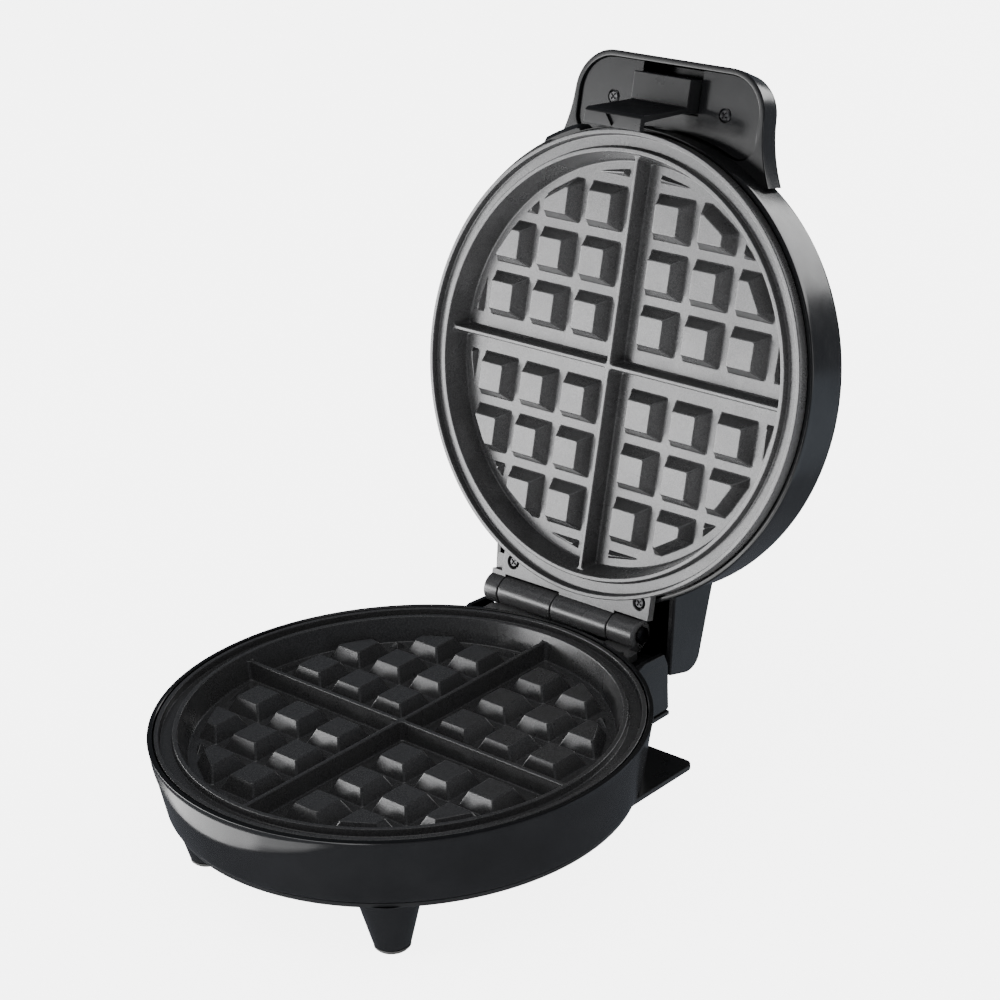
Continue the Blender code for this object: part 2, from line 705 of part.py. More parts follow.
def make_gland():
    """Bush in the rear wall where a cord would leave."""
    wall = REAR_BLOCK_Y
    near = wall - GLAND_REACH
    far = wall + GLAND_REACH
    profile = [(GLAND_BORE, far), (GLAND_COLLAR - 0.0010, far), (GLAND_COLLAR, wall + 0.0012)]
    profile += [(GLAND_COLLAR, wall + GAP), (GLAND_R, wall + GAP), (GLAND_R, near), (GLAND_BORE, near)]
    gland = turned("cord_gland", profile, 20)
    gland.data.transform(Matrix.Rotation(-math.pi / 2, 4, "X"))
    gland.data.transform(Matrix.Translation((GLAND_X, 0.0, GLAND_Z)))
    return gland


def make_hinge_pin():
    """Pin with an upset head at each end."""
    head = 0.0036
    left = LID_KNUCKLES[0][0] - 0.0004
    right = BASE_KNUCKLES[1][1] + 0.0004
    profile = [(0.0, left - 0.0018), (head * 0.8, left - 0.0018), (head, left - 0.0012), (head, left)]
    profile += [(PIN_RADIUS, left), (PIN_RADIUS, right), (head, right), (head, right + 0.0012)]
    profile += [(head * 0.8, right + 0.0018), (0.0, right + 0.0018)]
    pin = turned("hinge_pin", profile, 20)
    pin.data.transform(Matrix.Rotation(math.pi / 2, 4, "Y"))
    pin.data.transform(Matrix.Translation((0.0, HINGE_Y, 0.0)))
    return pin


# ---------------------------------------------------------------- lid
def lid_wall_radius(z):
    share = (z - LID_EDGE_Z) / (LID_TOP_Z - LID_EDGE_Z)
    return WALL_TOP_R + (LID_TOP_R - WALL_TOP_R) * share


def lid_shell():
    """Round lid cover with a rounded crown, the thin lip and the ledge for the upper plate."""
    low = LID_LEDGE_Z
    high = LID_LEDGE_Z + LEDGE_THICK
    shoulder = LID_TOP_Z - CROWN
    profile = [(LIP_INNER_R, LID_EDGE_Z), (WALL_TOP_R - TOP_CHAMFER, LID_EDGE_Z)]
    profile += [(WALL_TOP_R, LID_EDGE_Z + TOP_CHAMFER), (lid_wall_radius(shoulder), shoulder)]
    for degrees in (25, 50, 72, 90):
        a = math.radians(degrees)
        r = lid_wall_radius(shoulder) - CROWN * (1 - math.cos(a))
        profile.append((r, shoulder + CROWN * math.sin(a)))
    profile += [(0.0, LID_TOP_Z + CROWN_RISE), (0.0, LID_TOP_Z + CROWN_RISE - WALL)]
    inside = LID_TOP_Z - WALL
    profile += [(LID_TOP_R - CROWN, inside), (LID_TOP_R - WALL - 0.0004, inside - CORNER_DROP)]
    profile += [(lid_wall_radius(high) - WALL, high), (LEDGE_R, high), (LEDGE_R, low), (LIP_INNER_R, low)]
    return turned("lid_housing", profile)


def hood_outline(half, front, corner, back=HOOD_BACK):
    """Plan of the handle hood, whose sides spread where they meet the lid (front is -Y)."""
    outline = arc((half - corner, -front + corner), corner, -90, 0, 6)
    flare = []
    for t in (0.25, 0.5, 0.75, 1.0):
        flare.append((half + HOOD_FLARE * t * t, -FLARE_FROM + (FLARE_FROM - back) * t))
    outline += flare + [(-x, y) for x, y in reversed(flare)]
    outline += arc((-half + corner, -front + corner), corner, 180, 270, 6)
    return outline


def cavity_outline(side_gap):
    """Plan of the space inside the hood, bounded by the lid wall."""
    half = HOOD_HALF - HOOD_WALL - side_gap
    front = HOOD_FRONT - HOOD_WALL - side_gap
    corner = HOOD_CORNER - HOOD_WALL - side_gap
    wall = WALL_TOP_R - HOOD_RIM_IN + side_gap
    inner = CAVITY_FILLET - side_gap
    outline = arc((half - corner, -front + corner), corner, -90, 0, 6)
    centre_x = half - inner
    centre_y = -math.sqrt((wall + inner) ** 2 - centre_x**2)
    reach = math.degrees(math.asin(centre_x / (wall + inner)))
    outline += arc((centre_x, centre_y), inner, 0, 90 + reach, 5)[:-1]
    for i in range(13):
        a = math.radians(reach - 2 * reach * i / 12)
        outline.append((wall * math.sin(a), -wall * math.cos(a)))
    outline += arc((-centre_x, centre_y), inner, 90 - reach, 180, 5)[1:]
    outline += arc((-half + corner, -front + corner), corner, 180, 270, 6)
    return outline


def hood():
    """Shallow tray that forms the handle; its rim stands back from the plates."""
    layers = []
    steps = ((HOOD_RIM_Z, 0.0, 0.0, 0.0), (LID_TOP_Z - 0.0040, 0.0026, 0.0010, 0.0020))
    steps += ((LID_TOP_Z - 0.0012, 0.0038, 0.0022, 0.0030), (LID_TOP_Z, 0.0066, 0.0050, 0.0050))
    for z, side, front, corner in steps:
        layers.append((z, hood_outline(HOOD_HALF - side, HOOD_FRONT - front, HOOD_CORNER - corner)))
    return layered("hood", layers)


def rear_box():
    """Box over the hinge that meets the base at the open stop."""
    outline = [(0.0800, LID_EDGE_Z), (0.0900, LID_EDGE_Z + 0.0006), (BOX_BACK_Y, 0.0074)]
    outline += arc((BOX_BACK_Y - BOX_CORNER, 0.0185), BOX_CORNER, 0, 80, 5)
    outline += [(0.0920, 0.0284), (0.0800, 0.0294)]
    return prism("rear_box", outline, -REAR_HALF, REAR_HALF, "X")


def make_lid_housing():
    lid = lid_shell()
    top = LID_TOP_Z - WALL - 0.0004
    body = hood()
    cavity = prism("cavity", cavity_outline(0.0), HOOD_RIM_Z - 0.001, top)
    bore = rod("bore", (0.0, 0.0), LEDGE_R, HOOD_RIM_Z - 0.001, LID_TOP_Z + 0.001, segments=SEGMENTS)
    join(lid, cut(body, bore))
    cut(lid, cavity)
    inside = REAR_HALF - WALL
    box = rear_box()
    join(lid, cut(box, rod("bore", (0.0, 0.0), INNER_BORE, -0.01, LID_TOP_Z, segments=SEGMENTS)))
    well = block("well", (-inside, 0.0930, -0.0010), (inside, BOX_BACK_Y - WALL, 0.0240))
    cut(lid, well)
    for side in (-1, 1):
        x = side * FLANGE_SCREW[0]
        join(lid, rod("boss", (x, FLANGE_SCREW[1] - 0.0020), 0.0036, LID_EDGE_Z, 0.0130))
        cut(lid, rod("hole", (x, FLANGE_SCREW[1]), SCREW_HOLE_R, 0.0, 0.0100))
        join(lid, screw_boss(side))
        join(lid, pin_bracket(side))
    cut(lid, rod("plate_space", (0.0, 0.0), LIP_INNER_R, -0.0100, LID_LEDGE_Z, segments=SEGMENTS))
    for _, x in LIGHTS:
        hole = rod("lamp_hole", (x, LIGHT_Y), LIGHT_R + GAP, LID_TOP_Z - 0.006, LID_TOP_Z + 0.004, segments=20)
        cut(lid, hole)
    return lid


def screw_boss(side):
    low = COVER_FACE_Z + COVER_PLATE + GAP
    high = LID_TOP_Z - WALL
    centre = (side * HANDLE_SCREW[0], HANDLE_SCREW[1])
    boss = rod("boss", centre, HANDLE_BOSS_R, low, high)
    return cut(boss, rod("hole", centre, PILOT_R, low - 0.001, high - 0.0015))


def pin_bracket(side):
    """Rib that carries one end of the latch pin."""
    near = side * (LATCH_HALF + RIB_AT[0])
    far = side * (LATCH_HALF + RIB_AT[1])
    low = (min(near, far), LATCH_PIN_Y - RIB_HALF, COVER_FACE_Z + COVER_PLATE + GAP)
    high = (max(near, far), LATCH_PIN_Y + RIB_HALF, LID_TOP_Z - WALL)
    rib = block("rib", low, high)
    bore = LATCH_PIN_R + PIN_CLEARANCE
    hole = rod("hole", (LATCH_PIN_Y, LATCH_PIN_Z), bore, -0.04, 0.04, axis="X", segments=12)
    return cut(rib, hole)


def make_handle_cover():
    """Panel that closes the hood, notched for the latch."""
    back = COVER_FACE_Z + COVER_PLATE
    cover = prism("handle_cover", cavity_outline(COVER_GAP), COVER_FACE_Z, back)
    half = LATCH_HALF + LATCH_PLAY
    notch = block("notch", (-half, LATCH_SLOT[0], 0.0), (half, LATCH_SLOT[1], 0.05))
    cut(cover, notch)
    for side in (-1, 1):
        centre = (side * HANDLE_SCREW[0], HANDLE_SCREW[1])
        cut(cover, rod("sink", centre, HANDLE_SINK_R, COVER_FACE_Z - 0.001, COVER_FACE_Z + 0.0010))
        cut(cover, rod("hole", centre, SCREW_HOLE_R, COVER_FACE_Z - 0.001, COVER_FACE_Z + 0.004))
    return cover


def make_latch():
    """Latch block, sloping arm and turned-in hook, in one moulding."""
    latch = prism("latch", list(LATCH_SECTION), -LATCH_HALF, LATCH_HALF, "X")
    cut(latch, prism("notch", list(LATCH_NOTCH), -0.0210, -0.0188))
    bore = LATCH_PIN_R + PIN_CLEARANCE
    hole = rod("bore", (LATCH_PIN_Y, LATCH_PIN_Z), bore, -0.03, 0.03, axis="X", segments=12)
    return cut(latch, hole)


def make_latch_pin():
    reach = LATCH_HALF + 0.0100
    return rod("latch_pin", (LATCH_PIN_Y, LATCH_PIN_Z), LATCH_PIN_R, -reach, reach, axis="X", segments=12)


def make_latch_spring():
    """Torsion coil round the pin beside the latch."""
    wire = 0.0004
    coil = LATCH_PIN_R + GAP + wire + 0.0004
    turns = 4
    per_turn = 10
    sides = 5
    pitch = 0.0012
    start = LATCH_HALF + 0.0012
    bm = bmesh.new()
    rows = []
    for i in range(turns * per_turn + 1):
        a = 2 * math.pi * i / per_turn
        out = Vector((0.0, math.cos(a), math.sin(a)))
        centre = Vector((start + pitch * i / per_turn, LATCH_PIN_Y, LATCH_PIN_Z)) + out * coil
        row = []
        for k in range(sides):
            b = 2 * math.pi * k / sides
            row.append(bm.verts.new(centre + (out * math.cos(b) + Vector((1, 0, 0)) * math.sin(b)) * wire))
        rows.append(row)
    bm.faces.new(rows[0])
    bm.faces.new(list(reversed(rows[-1])))
    for row, after in zip(rows, rows[1:]):
        for k in range(sides):
            j = (k + 1) % sides
            bm.faces.new((row[k], row[j], after[j], after[k]))
    return add_object("latch_spring", mesh_from("latch_spring", bm))


def make_light(name, x):
    """Domed lens with a retaining collar under the lid skin."""
    skin = LID_TOP_Z + 0.0003
    profile = [(0.0, skin + 0.0010), (LIGHT_R * 0.6, skin + 0.0007), (LIGHT_R, skin + 0.0002)]
    profile += [(LIGHT_R, skin - 0.0052), (0.0, skin - 0.0052)]
    lens = turned(name, profile, 20)
    lens.data.transform(Matrix.Translation((x, LIGHT_Y, 0.0)))
    return lens


# ---------------------------------------------------------------- assembly
def empty(name, location, parent=None, turn=0.0):
    obj = bpy.data.objects.new(name, None)
    bpy.context.scene.collection.objects.link(obj)
    obj.location = location
    obj.rotation_euler = (turn, 0.0, 0.0)
    if parent is not None:
        obj.parent = parent
    return obj


def build_base(plan, mats):
    finish(make_base_housing(), mats["shell"], plan)
    finish(make_base_cover(), mats["shell"], plan)
    names = ("front_left", "front_right", "rear_left", "rear_right")
    for name, place in zip(names, leg_places()):
        finish(make_foot_pad("foot_pad_" + name, place), mats["rubber"], plan)
    finish(make_plate("lower_plate", BASE_KNUCKLES, False), mats["plate"], plan)
    finish(make_element("lower_element"), mats["heater"], plan)
    finish(make_reflector("lower_reflector"), mats["sheet"], plan)
    finish(make_thermostat(), mats["sheet"], plan)
    finish(make_fuse(), mats["ceramic"], plan)
    finish(make_terminal_block(), mats["ceramic"], plan)
    finish(make_gland(), mats["rubber"], plan)
    finish(make_hinge_pin(), mats["steel"], plan)
    head = LOWER_RIM_Z - FLANGE_STEP - GAP
    for side, name in ((-1, "left"), (1, "right")):
        centre = (side * FLANGE_SCREW[0], FLANGE_SCREW[1])
        screw = make_screw("lower_plate_screw_" + name, centre, SCREW_HEAD_R, head, SCREW_HEAD_H,
                           SCREW_SHANK_R, 0.0075)
        finish(screw, mats["steel"], plan)
    low = BASE_BOTTOM_Z - COVER_THICK
    for i, centre in enumerate(COVER_SCREWS):
        screw = make_screw("cover_screw_%d" % (i + 1), centre, COVER_HEAD_R, low, 0.0006,
                           0.0012, 0.0060, up=-1)
        finish(screw, mats["steel"], plan)


def build_lid(hinge, mats):
    pivot = (0.0, HINGE_Y, 0.0)
    finish(make_lid_housing(), mats["shell"], hinge, pivot)
    plate = make_plate("upper_plate", LID_KNUCKLES, True)
    finish(flip_to_lid(plate), mats["plate"], hinge, pivot)
    finish(flip_to_lid(make_element("upper_element")), mats["heater"], hinge, pivot)
    finish(flip_to_lid(make_reflector("upper_reflector")), mats["sheet"], hinge, pivot)
    head = PLATE_FLIP - LOWER_RIM_Z + FLANGE_STEP + GAP
    for side, name in ((-1, "left"), (1, "right")):
        centre = (side * FLANGE_SCREW[0], FLANGE_SCREW[1])
        screw = make_screw("upper_plate_screw_" + name, centre, SCREW_HEAD_R, head, SCREW_HEAD_H,
                           SCREW_SHANK_R, 0.0075, up=-1)
        finish(screw, mats["steel"], hinge, pivot)
        centre = (side * HANDLE_SCREW[0], HANDLE_SCREW[1])
        screw = make_screw("handle_screw_" + name, centre, HANDLE_HEAD_R, COVER_FACE_Z - GAP, 0.0010,
                           SCREW_SHANK_R, 0.0050, up=-1)
        finish(screw, mats["steel"], hinge, pivot)
    finish(make_handle_cover(), mats["shell"], hinge, pivot)
    finish(make_latch_pin(), mats["steel"], hinge, pivot)
    finish(make_latch_spring(), mats["steel"], hinge, pivot)
    for name, x in LIGHTS:
        finish(make_light(name, x), mats[name], hinge, pivot)


def build():
    clear_scene()
    mats = {
        "shell": material("black_housing_plastic", (0.012, 0.012, 0.013), 0.22),
        "plate": material("cast_plate_coating", (0.30, 0.30, 0.31), 0.42, 0.75),
        "rubber": material("foot_rubber", (0.02, 0.02, 0.02), 0.75),
        "steel": material("bright_steel", (0.62, 0.62, 0.62), 0.28, 1.0),
        "heater": material("heater_sheath", (0.20, 0.19, 0.18), 0.45, 0.9),
        "sheet": material("reflector_sheet", (0.66, 0.66, 0.67), 0.30, 1.0),
        "ceramic": material("ceramic_insulator", (0.80, 0.78, 0.72), 0.55),
        "power_light": material("red_lens", (0.55, 0.02, 0.02), 0.15),
        "ready_light": material("green_lens", (0.02, 0.40, 0.06), 0.15),
    }
    plan = empty("plate_axis", (0.0, -BOX_CENTRE_Y, HINGE_Z))
    hinge = empty("lid_hinge", (0.0, HINGE_Y, 0.0), plan, -OPEN_ANGLE)
    build_base(plan, mats)
    build_lid(hinge, mats)
    pivot = empty("latch_pivot", (0.0, LATCH_PIN_Y - HINGE_Y, LATCH_PIN_Z), hinge)
    finish(make_latch(), mats["shell"], pivot, (0.0, LATCH_PIN_Y, LATCH_PIN_Z))


build()
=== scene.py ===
"""Looks of the round waffle maker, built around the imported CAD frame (metres, +Z up, front = -Y).

Pieces are drawn with the lid closed, about the plate axis at hinge height ("plan" coordinates),
and are then set in place: base pieces by a shift, lid pieces by the turn of the open lid.
"""

import json
import math

import bmesh
import bpy
from mathutils import Matrix, Vector
from mathutils.geometry import tessellate_polygon


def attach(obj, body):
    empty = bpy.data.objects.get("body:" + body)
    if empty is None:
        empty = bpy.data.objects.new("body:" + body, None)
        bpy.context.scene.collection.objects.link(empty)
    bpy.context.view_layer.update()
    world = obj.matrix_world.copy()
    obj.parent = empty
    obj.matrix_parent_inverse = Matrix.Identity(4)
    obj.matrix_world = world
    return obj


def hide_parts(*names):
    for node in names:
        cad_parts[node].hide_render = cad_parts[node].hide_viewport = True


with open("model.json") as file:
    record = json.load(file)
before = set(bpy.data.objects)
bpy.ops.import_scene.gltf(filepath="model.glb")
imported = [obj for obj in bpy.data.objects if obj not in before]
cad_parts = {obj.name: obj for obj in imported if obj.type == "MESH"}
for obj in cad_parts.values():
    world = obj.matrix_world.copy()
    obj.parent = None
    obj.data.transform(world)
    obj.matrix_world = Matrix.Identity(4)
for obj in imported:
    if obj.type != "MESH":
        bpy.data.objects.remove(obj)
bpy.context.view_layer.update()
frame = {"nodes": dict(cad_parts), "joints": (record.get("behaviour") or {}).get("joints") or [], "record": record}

# ---------------------------------------------------------------- dimensions (as in the CAD)
OPEN_ANGLE = math.radians(104.8)
HINGE_Y = 0.1083
GAP = 0.0003
AROUND = 160                          # facets round the large turned parts
WELD = 2e-7                           # vertices closer than this are one
SLIVER = 1e-6                         # faces thinner than this are dropped

RIM_Z = -0.0031
PLATE_FLIP = -0.0058
PLATE_RADIUS = 0.0992
RECESS_RADIUS = 0.0866
RECESS_DEPTH = 0.0107
PLATE_FLOOR = 0.0030
PLATE_EDGE = 0.0057                   # thickness of the casting at its outer lip
INNER_LIP = (0.0898, 0.0917)
CHANNEL = (0.0920, 0.0970)            # flat bottom of the rim channel
CHANNEL_DEPTH = 0.0030
OUTER_LIP_R = 0.0973
PLATE_SHOULDER = 0.0937
PLATE_UNDER_R = 0.0905
LIP_ROUND = 0.0004
WALL_DRAFT = 0.0032 / 0.0107
STUD_PITCH = 0.0235
STUD_FIRST = 0.0085
STUD_SIZE = 0.0190
STUD_INSET = 0.00325
STUD_HEIGHT = 0.0065
STUD_CIRCLE = 0.0828
STUD_FILL = 0.80                      # share of a narrow stud's half width that its sides may lean in
STUDS = 4                             # studs along each side of a quarter, before trimming
LEAST_RINGS = 4                       # a stud with fewer rings is too narrow to keep
DIVIDER_HEIGHT = 0.0079
DIVIDER_TOP = 0.0009
DIVIDER_FOOT = 0.0019
FLANGE_HALF = 0.0410
FLANGE_BACK = 0.1011
FLANGE_THICK = 0.0045
FLANGE_STEP = 0.0008
FLANGE_RADIUS = 0.0982                # the flange starts at this radius, inside the outer lip
WEB_ROOT = 0.0012
ARM_NEAR = 0.0930
ARM_LEVELS = (-0.0082, -0.0035)
ARM_ROOT = 0.0015
KNUCKLE_RADIUS = 0.0066
BASE_KNUCKLES = ((-0.0382, -0.0083), (0.0233, 0.0370))
LID_KNUCKLES = ((-0.0465, -0.0386), (-0.0079, 0.0229))
FLANGE_SCREW = (0.0352, 0.0945)
SINK_R = 0.0031
SINK_DEPTH = 0.0017

WALL_TOP_R = 0.1021
BASE_TOP_Z = -0.0029
LEDGE_LOW_Z = BASE_TOP_Z - 0.0062     # ledge that carries the lower plate
BASE_BOTTOM_R = 0.0969
BASE_BOTTOM_Z = -0.0320
LID_EDGE_Z = 0.0021
LID_TOP_R = 0.0982
LID_TOP_Z = 0.0311
CROWN = 0.0042                        # rounding of the lid's upper edge
CROWN_RISE = 0.0006
LEDGE_Z = 0.0033                      # ledge that carries the upper plate
LEDGE_R = 0.0955
LIP_INNER_R = 0.0999
THIN_LIP = 0.0006                     # width of the lip inside the hood
THIN_FROM = 30.0                      # the lip thins between these angles from the front, degrees
THIN_OVER = 3.0
CHIN_HALF_ANGLE = math.radians(33)
CHIN_DROP = 0.0098
CHIN_PROUD = 0.0034
CHIN_EDGE = 0.0007                    # plain wall above the ends and the middle of the catch
CHIN_TOP = 0.0012
CHIN_SINK = 0.0004
INNER_BORE = 0.0945
REAR_HALF = 0.0500
REAR_BLOCK_Y = 0.1108
REAR_BLOCK_TOP = -0.0092
BOX_BACK_Y = 0.1237
BOX_CORNER = 0.0085
SHELL_WALL = 0.0026                   # wall of the rear box and foot of the base wall
GLAND_X = 0.0300
GLAND_Z = -0.0235
GLAND_HOLE_R = 0.0044
COVER_THICK = 0.0025
COVER_SCREWS = ((-0.0760, -0.0060), (0.0760, -0.0060), (0.0, -0.0800))
COVER_SINK_R = 0.0034
VENT_PITCH = 0.0080
VENT_COUNT = 7
VENT_HALF = 0.0016
VENT_ENDS = (-0.0260, 0.0060)
WING_HALF = 0.0863
WING_BACK = 0.0810
WING_FRONT = 0.0200
WING_CORNER = 0.0040
TAIL_FRONT = 0.0700
COVER_TOP_R = 0.0961
COVER_LOW_R = 0.0953
LEGS = ((-0.0520, -0.0635), (0.0520, -0.0635), (-0.0420, 0.0800), (0.0420, 0.0800))
LEG_TOP_R = 0.0132
LEG_FOOT_R = 0.0074
LEG_FOOT_Z = -0.0577
HOOD_HALF = 0.0500
HOOD_FRONT = 0.1300
HOOD_BACK = 0.0845
HOOD_RIM_Z = 0.0151
HOOD_CORNER = 0.0190
HOOD_WALL = 0.0026
HOOD_FLARE = 0.0072
FLARE_FROM = 0.1130
HOOD_CROWN = 0.0040
CAVITY_FILLET = 0.0080
COVER_FACE_Z = 0.0166
LATCH_HALF = 0.0150
LATCH_SECTION = ((-0.1230, 0.0096), (-0.1112, 0.0096), (-0.1070, -0.0185), (-0.1058, -0.0199),
                 (-0.1003, -0.0199), (-0.1003, -0.0176), (-0.1041, -0.0171), (-0.1052, -0.0120),
                 (-0.1088, 0.0080), (-0.1093, 0.0250), (-0.1200, 0.0250), (-0.1230, 0.0205))
LATCH_NOTCH = ((-0.0038, -0.1054), (0.0038, -0.1054), (0.0, -0.1006))
FOOT_ANGLES = (-32.0, -19.5)          # hood foot left of the latch, degrees from the front
FOOT_ROOT_R = 0.1003

HINGE_AT = Vector(frame["joints"][0]["pos_m"])
TO_BASE = Matrix.Translation((0.0, HINGE_AT.y - HINGE_Y, HINGE_AT.z))
TO_LID = (Matrix.Translation(HINGE_AT) @ Matrix.Rotation(-OPEN_ANGLE, 4, "X")
          @ Matrix.Translation((0.0, -HINGE_Y, 0.0)))
FLIP = Matrix.Translation((0.0, 0.0, PLATE_FLIP)) @ Matrix.Rotation(math.pi, 4, "Y")


# ---------------------------------------------------------------- material helpers
class Nodes:
    """Small wrapper that builds one material's node tree."""

    def __init__(self, name):
        self.material = bpy.data.materials.new(name)
        self.material.use_nodes = True
        self.tree = self.material.node_tree
        self.shader = self.tree.nodes["Principled BSDF"]
        coords = self.tree.nodes.new("ShaderNodeTexCoord")
        self.place = coords.outputs["Object"]

    def set(self, **values):
        for key, value in values.items():
            self.shader.inputs[key.replace("_", " ")].default_value = value

    def link(self, output, socket):
        self.tree.links.new(output, self.shader.inputs[socket])

    def stretched(self, scale):
        node = self.tree.nodes.new("ShaderNodeMapping")
        node.inputs["Scale"].default_value = scale
        self.tree.links.new(self.place, node.inputs["Vector"])
        return node.outputs["Vector"]

    def noise(self, scale, detail=2.0, rough=0.5, vector=None):
        node = self.tree.nodes.new("ShaderNodeTexNoise")
        node.inputs["Scale"].default_value = scale
        node.inputs["Detail"].default_value = detail
        node.inputs["Roughness"].default_value = rough
        self.tree.links.new(vector or self.place, node.inputs["Vector"])
        return node.outputs["Fac"]

    def cells(self, scale):
        node = self.tree.nodes.new("ShaderNodeTexVoronoi")
        node.inputs["Scale"].default_value = scale
        self.tree.links.new(self.place, node.inputs["Vector"])
        return node.outputs["Distance"]

    def ramp(self, factor, stops):
        node = self.tree.nodes.new("ShaderNodeValToRGB")
        ramp = node.color_ramp
        ramp.elements[0].position, ramp.elements[0].color = stops[0][0], (*stops[0][1], 1.0)
        ramp.elements[1].position, ramp.elements[1].color = stops[-1][0], (*stops[-1][1], 1.0)
        for position, colour in stops[1:-1]:
            ramp.elements.new(position).color = (*colour, 1.0)
        self.tree.links.new(factor, node.inputs["Fac"])
        return node.outputs["Color"]

    def spread(self, factor, low, high, start=0.3, end=0.7):
        node = self.tree.nodes.new("ShaderNodeMapRange")
        node.inputs["From Min"].default_value = start
        node.inputs["From Max"].default_value = end
        node.inputs["To Min"].default_value = low
        node.inputs["To Max"].default_value = high
        self.tree.links.new(factor, node.inputs["Value"])
        return node.outputs["Result"]

    def bump(self, height, strength, distance, below=None):
        node = self.tree.nodes.new("ShaderNodeBump")
        node.inputs["Strength"].default_value = strength
        node.inputs["Distance"].default_value = distance
        self.tree.links.new(height, node.inputs["Height"])
        if below is not None:
            self.tree.links.new(below, node.inputs["Normal"])
        return node.outputs["Normal"]


def gloss_plastic(name, base, rough, flow, grain, level):
    """Injection-moulded black plastic: faint flow ripple, fine grain and handling haze."""
    n = Nodes(name)
    haze = n.noise(38.0, 4.0, 0.6)
    low = tuple(c * 0.75 for c in base)
    n.link(n.ramp(haze, [(0.35, low), (0.7, base)]), "Base Color")
    n.link(n.spread(n.noise(95.0, 5.0, 0.65), rough * 0.85, rough * 1.25), "Roughness")
    ripple = n.bump(n.noise(60.0, 1.0), flow, 0.0004)
    n.link(n.bump(n.noise(3800.0, 2.0), grain, 0.00003, ripple), "Normal")
    n.set(IOR=1.47, Specular_IOR_Level=level)
    return n.material


def plate_coating():
    """Dark non-stick coating: fine sparkle, satin gloss and an unevenly sprayed film."""
    n = Nodes("satin_plate_coating")
    fleck = n.cells(1900.0)
    shades = [(0.0, (0.090, 0.090, 0.092)), (0.45, (0.046, 0.046, 0.047)), (0.9, (0.030, 0.030, 0.031))]
    n.link(n.ramp(fleck, shades), "Base Color")
    n.link(n.spread(n.noise(45.0, 4.0, 0.6), 0.24, 0.32), "Roughness")
    under = n.bump(n.noise(420.0, 3.0), 0.04, 0.0002)
    n.link(n.bump(n.noise(2600.0, 3.0, 0.7), 0.10, 0.00006, under), "Normal")
    n.set(Metallic=0.35, IOR=1.58)
    return n.material


def rubber():
    n = Nodes("grained_rubber")
    shades = [(0.3, (0.012, 0.012, 0.012)), (0.7, (0.030, 0.030, 0.029))]
    n.link(n.ramp(n.noise(260.0, 4.0), shades), "Base Color")
    n.link(n.spread(n.noise(900.0, 3.0), 0.62, 0.85), "Roughness")
    n.link(n.bump(n.noise(1600.0, 4.0), 0.35, 0.0001), "Normal")
    return n.material


def metal(name, dark, light, rough, grain, strength=0.12, metallic=1.0):
    """Metal with a drawn or rolled grain; the stretch sets the way that the grain runs."""
    n = Nodes(name)
    lines = n.noise(900.0, 4.0, 0.6, n.stretched(grain))
    n.link(n.ramp(lines, [(0.3, dark), (0.72, light)]), "Base Color")
    n.link(n.spread(n.noise(300.0, 3.0), rough * 0.8, rough * 1.3), "Roughness")
    n.link(n.bump(lines, strength, 0.00005), "Normal")
    n.set(Metallic=metallic)
    return n.material


def ceramic():
    n = Nodes("ceramic_body")
    shades = [(0.3, (0.66, 0.63, 0.56)), (0.7, (0.84, 0.82, 0.76))]
    n.link(n.ramp(n.noise(500.0, 5.0), shades), "Base Color")
    n.link(n.spread(n.noise(700.0, 2.0), 0.45, 0.65), "Roughness")
    n.link(n.bump(n.noise(1400.0, 3.0), 0.2, 0.0001), "Normal")
    return n.material


def lens(name, dark, light):
    """Translucent coloured lens with faint mottling."""
    n = Nodes(name)
    n.link(n.ramp(n.noise(420.0, 3.0), [(0.3, dark), (0.7, light)]), "Base Color")
    n.link(n.spread(n.noise(900.0, 2.0), 0.08, 0.16), "Roughness")
    n.link(n.bump(n.cells(700.0), 0.15, 0.0001), "Normal")
    n.set(IOR=1.49, Coat_Weight=0.5)
    return n.material


GLOSS_BLACK = (0.0055, 0.0057, 0.0062)
SATIN_BLACK = (0.0075, 0.0077, 0.0082)
SCREW_DARK, SCREW_LIGHT = (0.020, 0.020, 0.021), (0.070, 0.070, 0.072)
SHEATH_DARK, SHEATH_LIGHT = (0.07, 0.06, 0.055), (0.22, 0.19, 0.17)
SHEET_DARK, SHEET_LIGHT = (0.42, 0.42, 0.43), (0.66, 0.66, 0.67)
MATERIALS = {
    "black_housing_plastic": gloss_plastic("gloss_black_plastic", GLOSS_BLACK, 0.18, 0.03, 0.02, 0.30),
    "satin": gloss_plastic("satin_black_plastic", SATIN_BLACK, 0.30, 0.04, 0.25, 0.22),
    "cast_plate_coating": plate_coating(),
    "foot_rubber": rubber(),
    "bright_steel": metal("screw_steel", SCREW_DARK, SCREW_LIGHT, 0.32, (0.2, 1.0, 1.0)),
    "heater_sheath": metal("oxidised_sheath", SHEATH_DARK, SHEATH_LIGHT, 0.50, (1.0, 1.0, 1.0), 0.3, 0.85),
    "reflector_sheet": metal("rolled_sheet", SHEET_DARK, SHEET_LIGHT, 0.28, (0.04, 1.0, 1.0)),
    "ceramic_insulator": ceramic(),
    "red_lens": lens("red_lens_body", (0.30, 0.006, 0.006), (0.52, 0.015, 0.012)),
    "green_lens": lens("green_lens_body", (0.006, 0.18, 0.02), (0.015, 0.34, 0.05)),
}
HOUSING = "black_housing_plastic"
COATING = "cast_plate_coating"


# ---------------------------------------------------------------- mesh helpers
def arc(centre, radius, start, end, steps):
    """Points of an arc, angles in degrees."""
    points = []
    for i in range(steps + 1):
        a = math.radians(start + (end - start) * i / steps)
        points.append((centre[0] + radius * math.cos(a), centre[1] + radius * math.sin(a)))
    return points


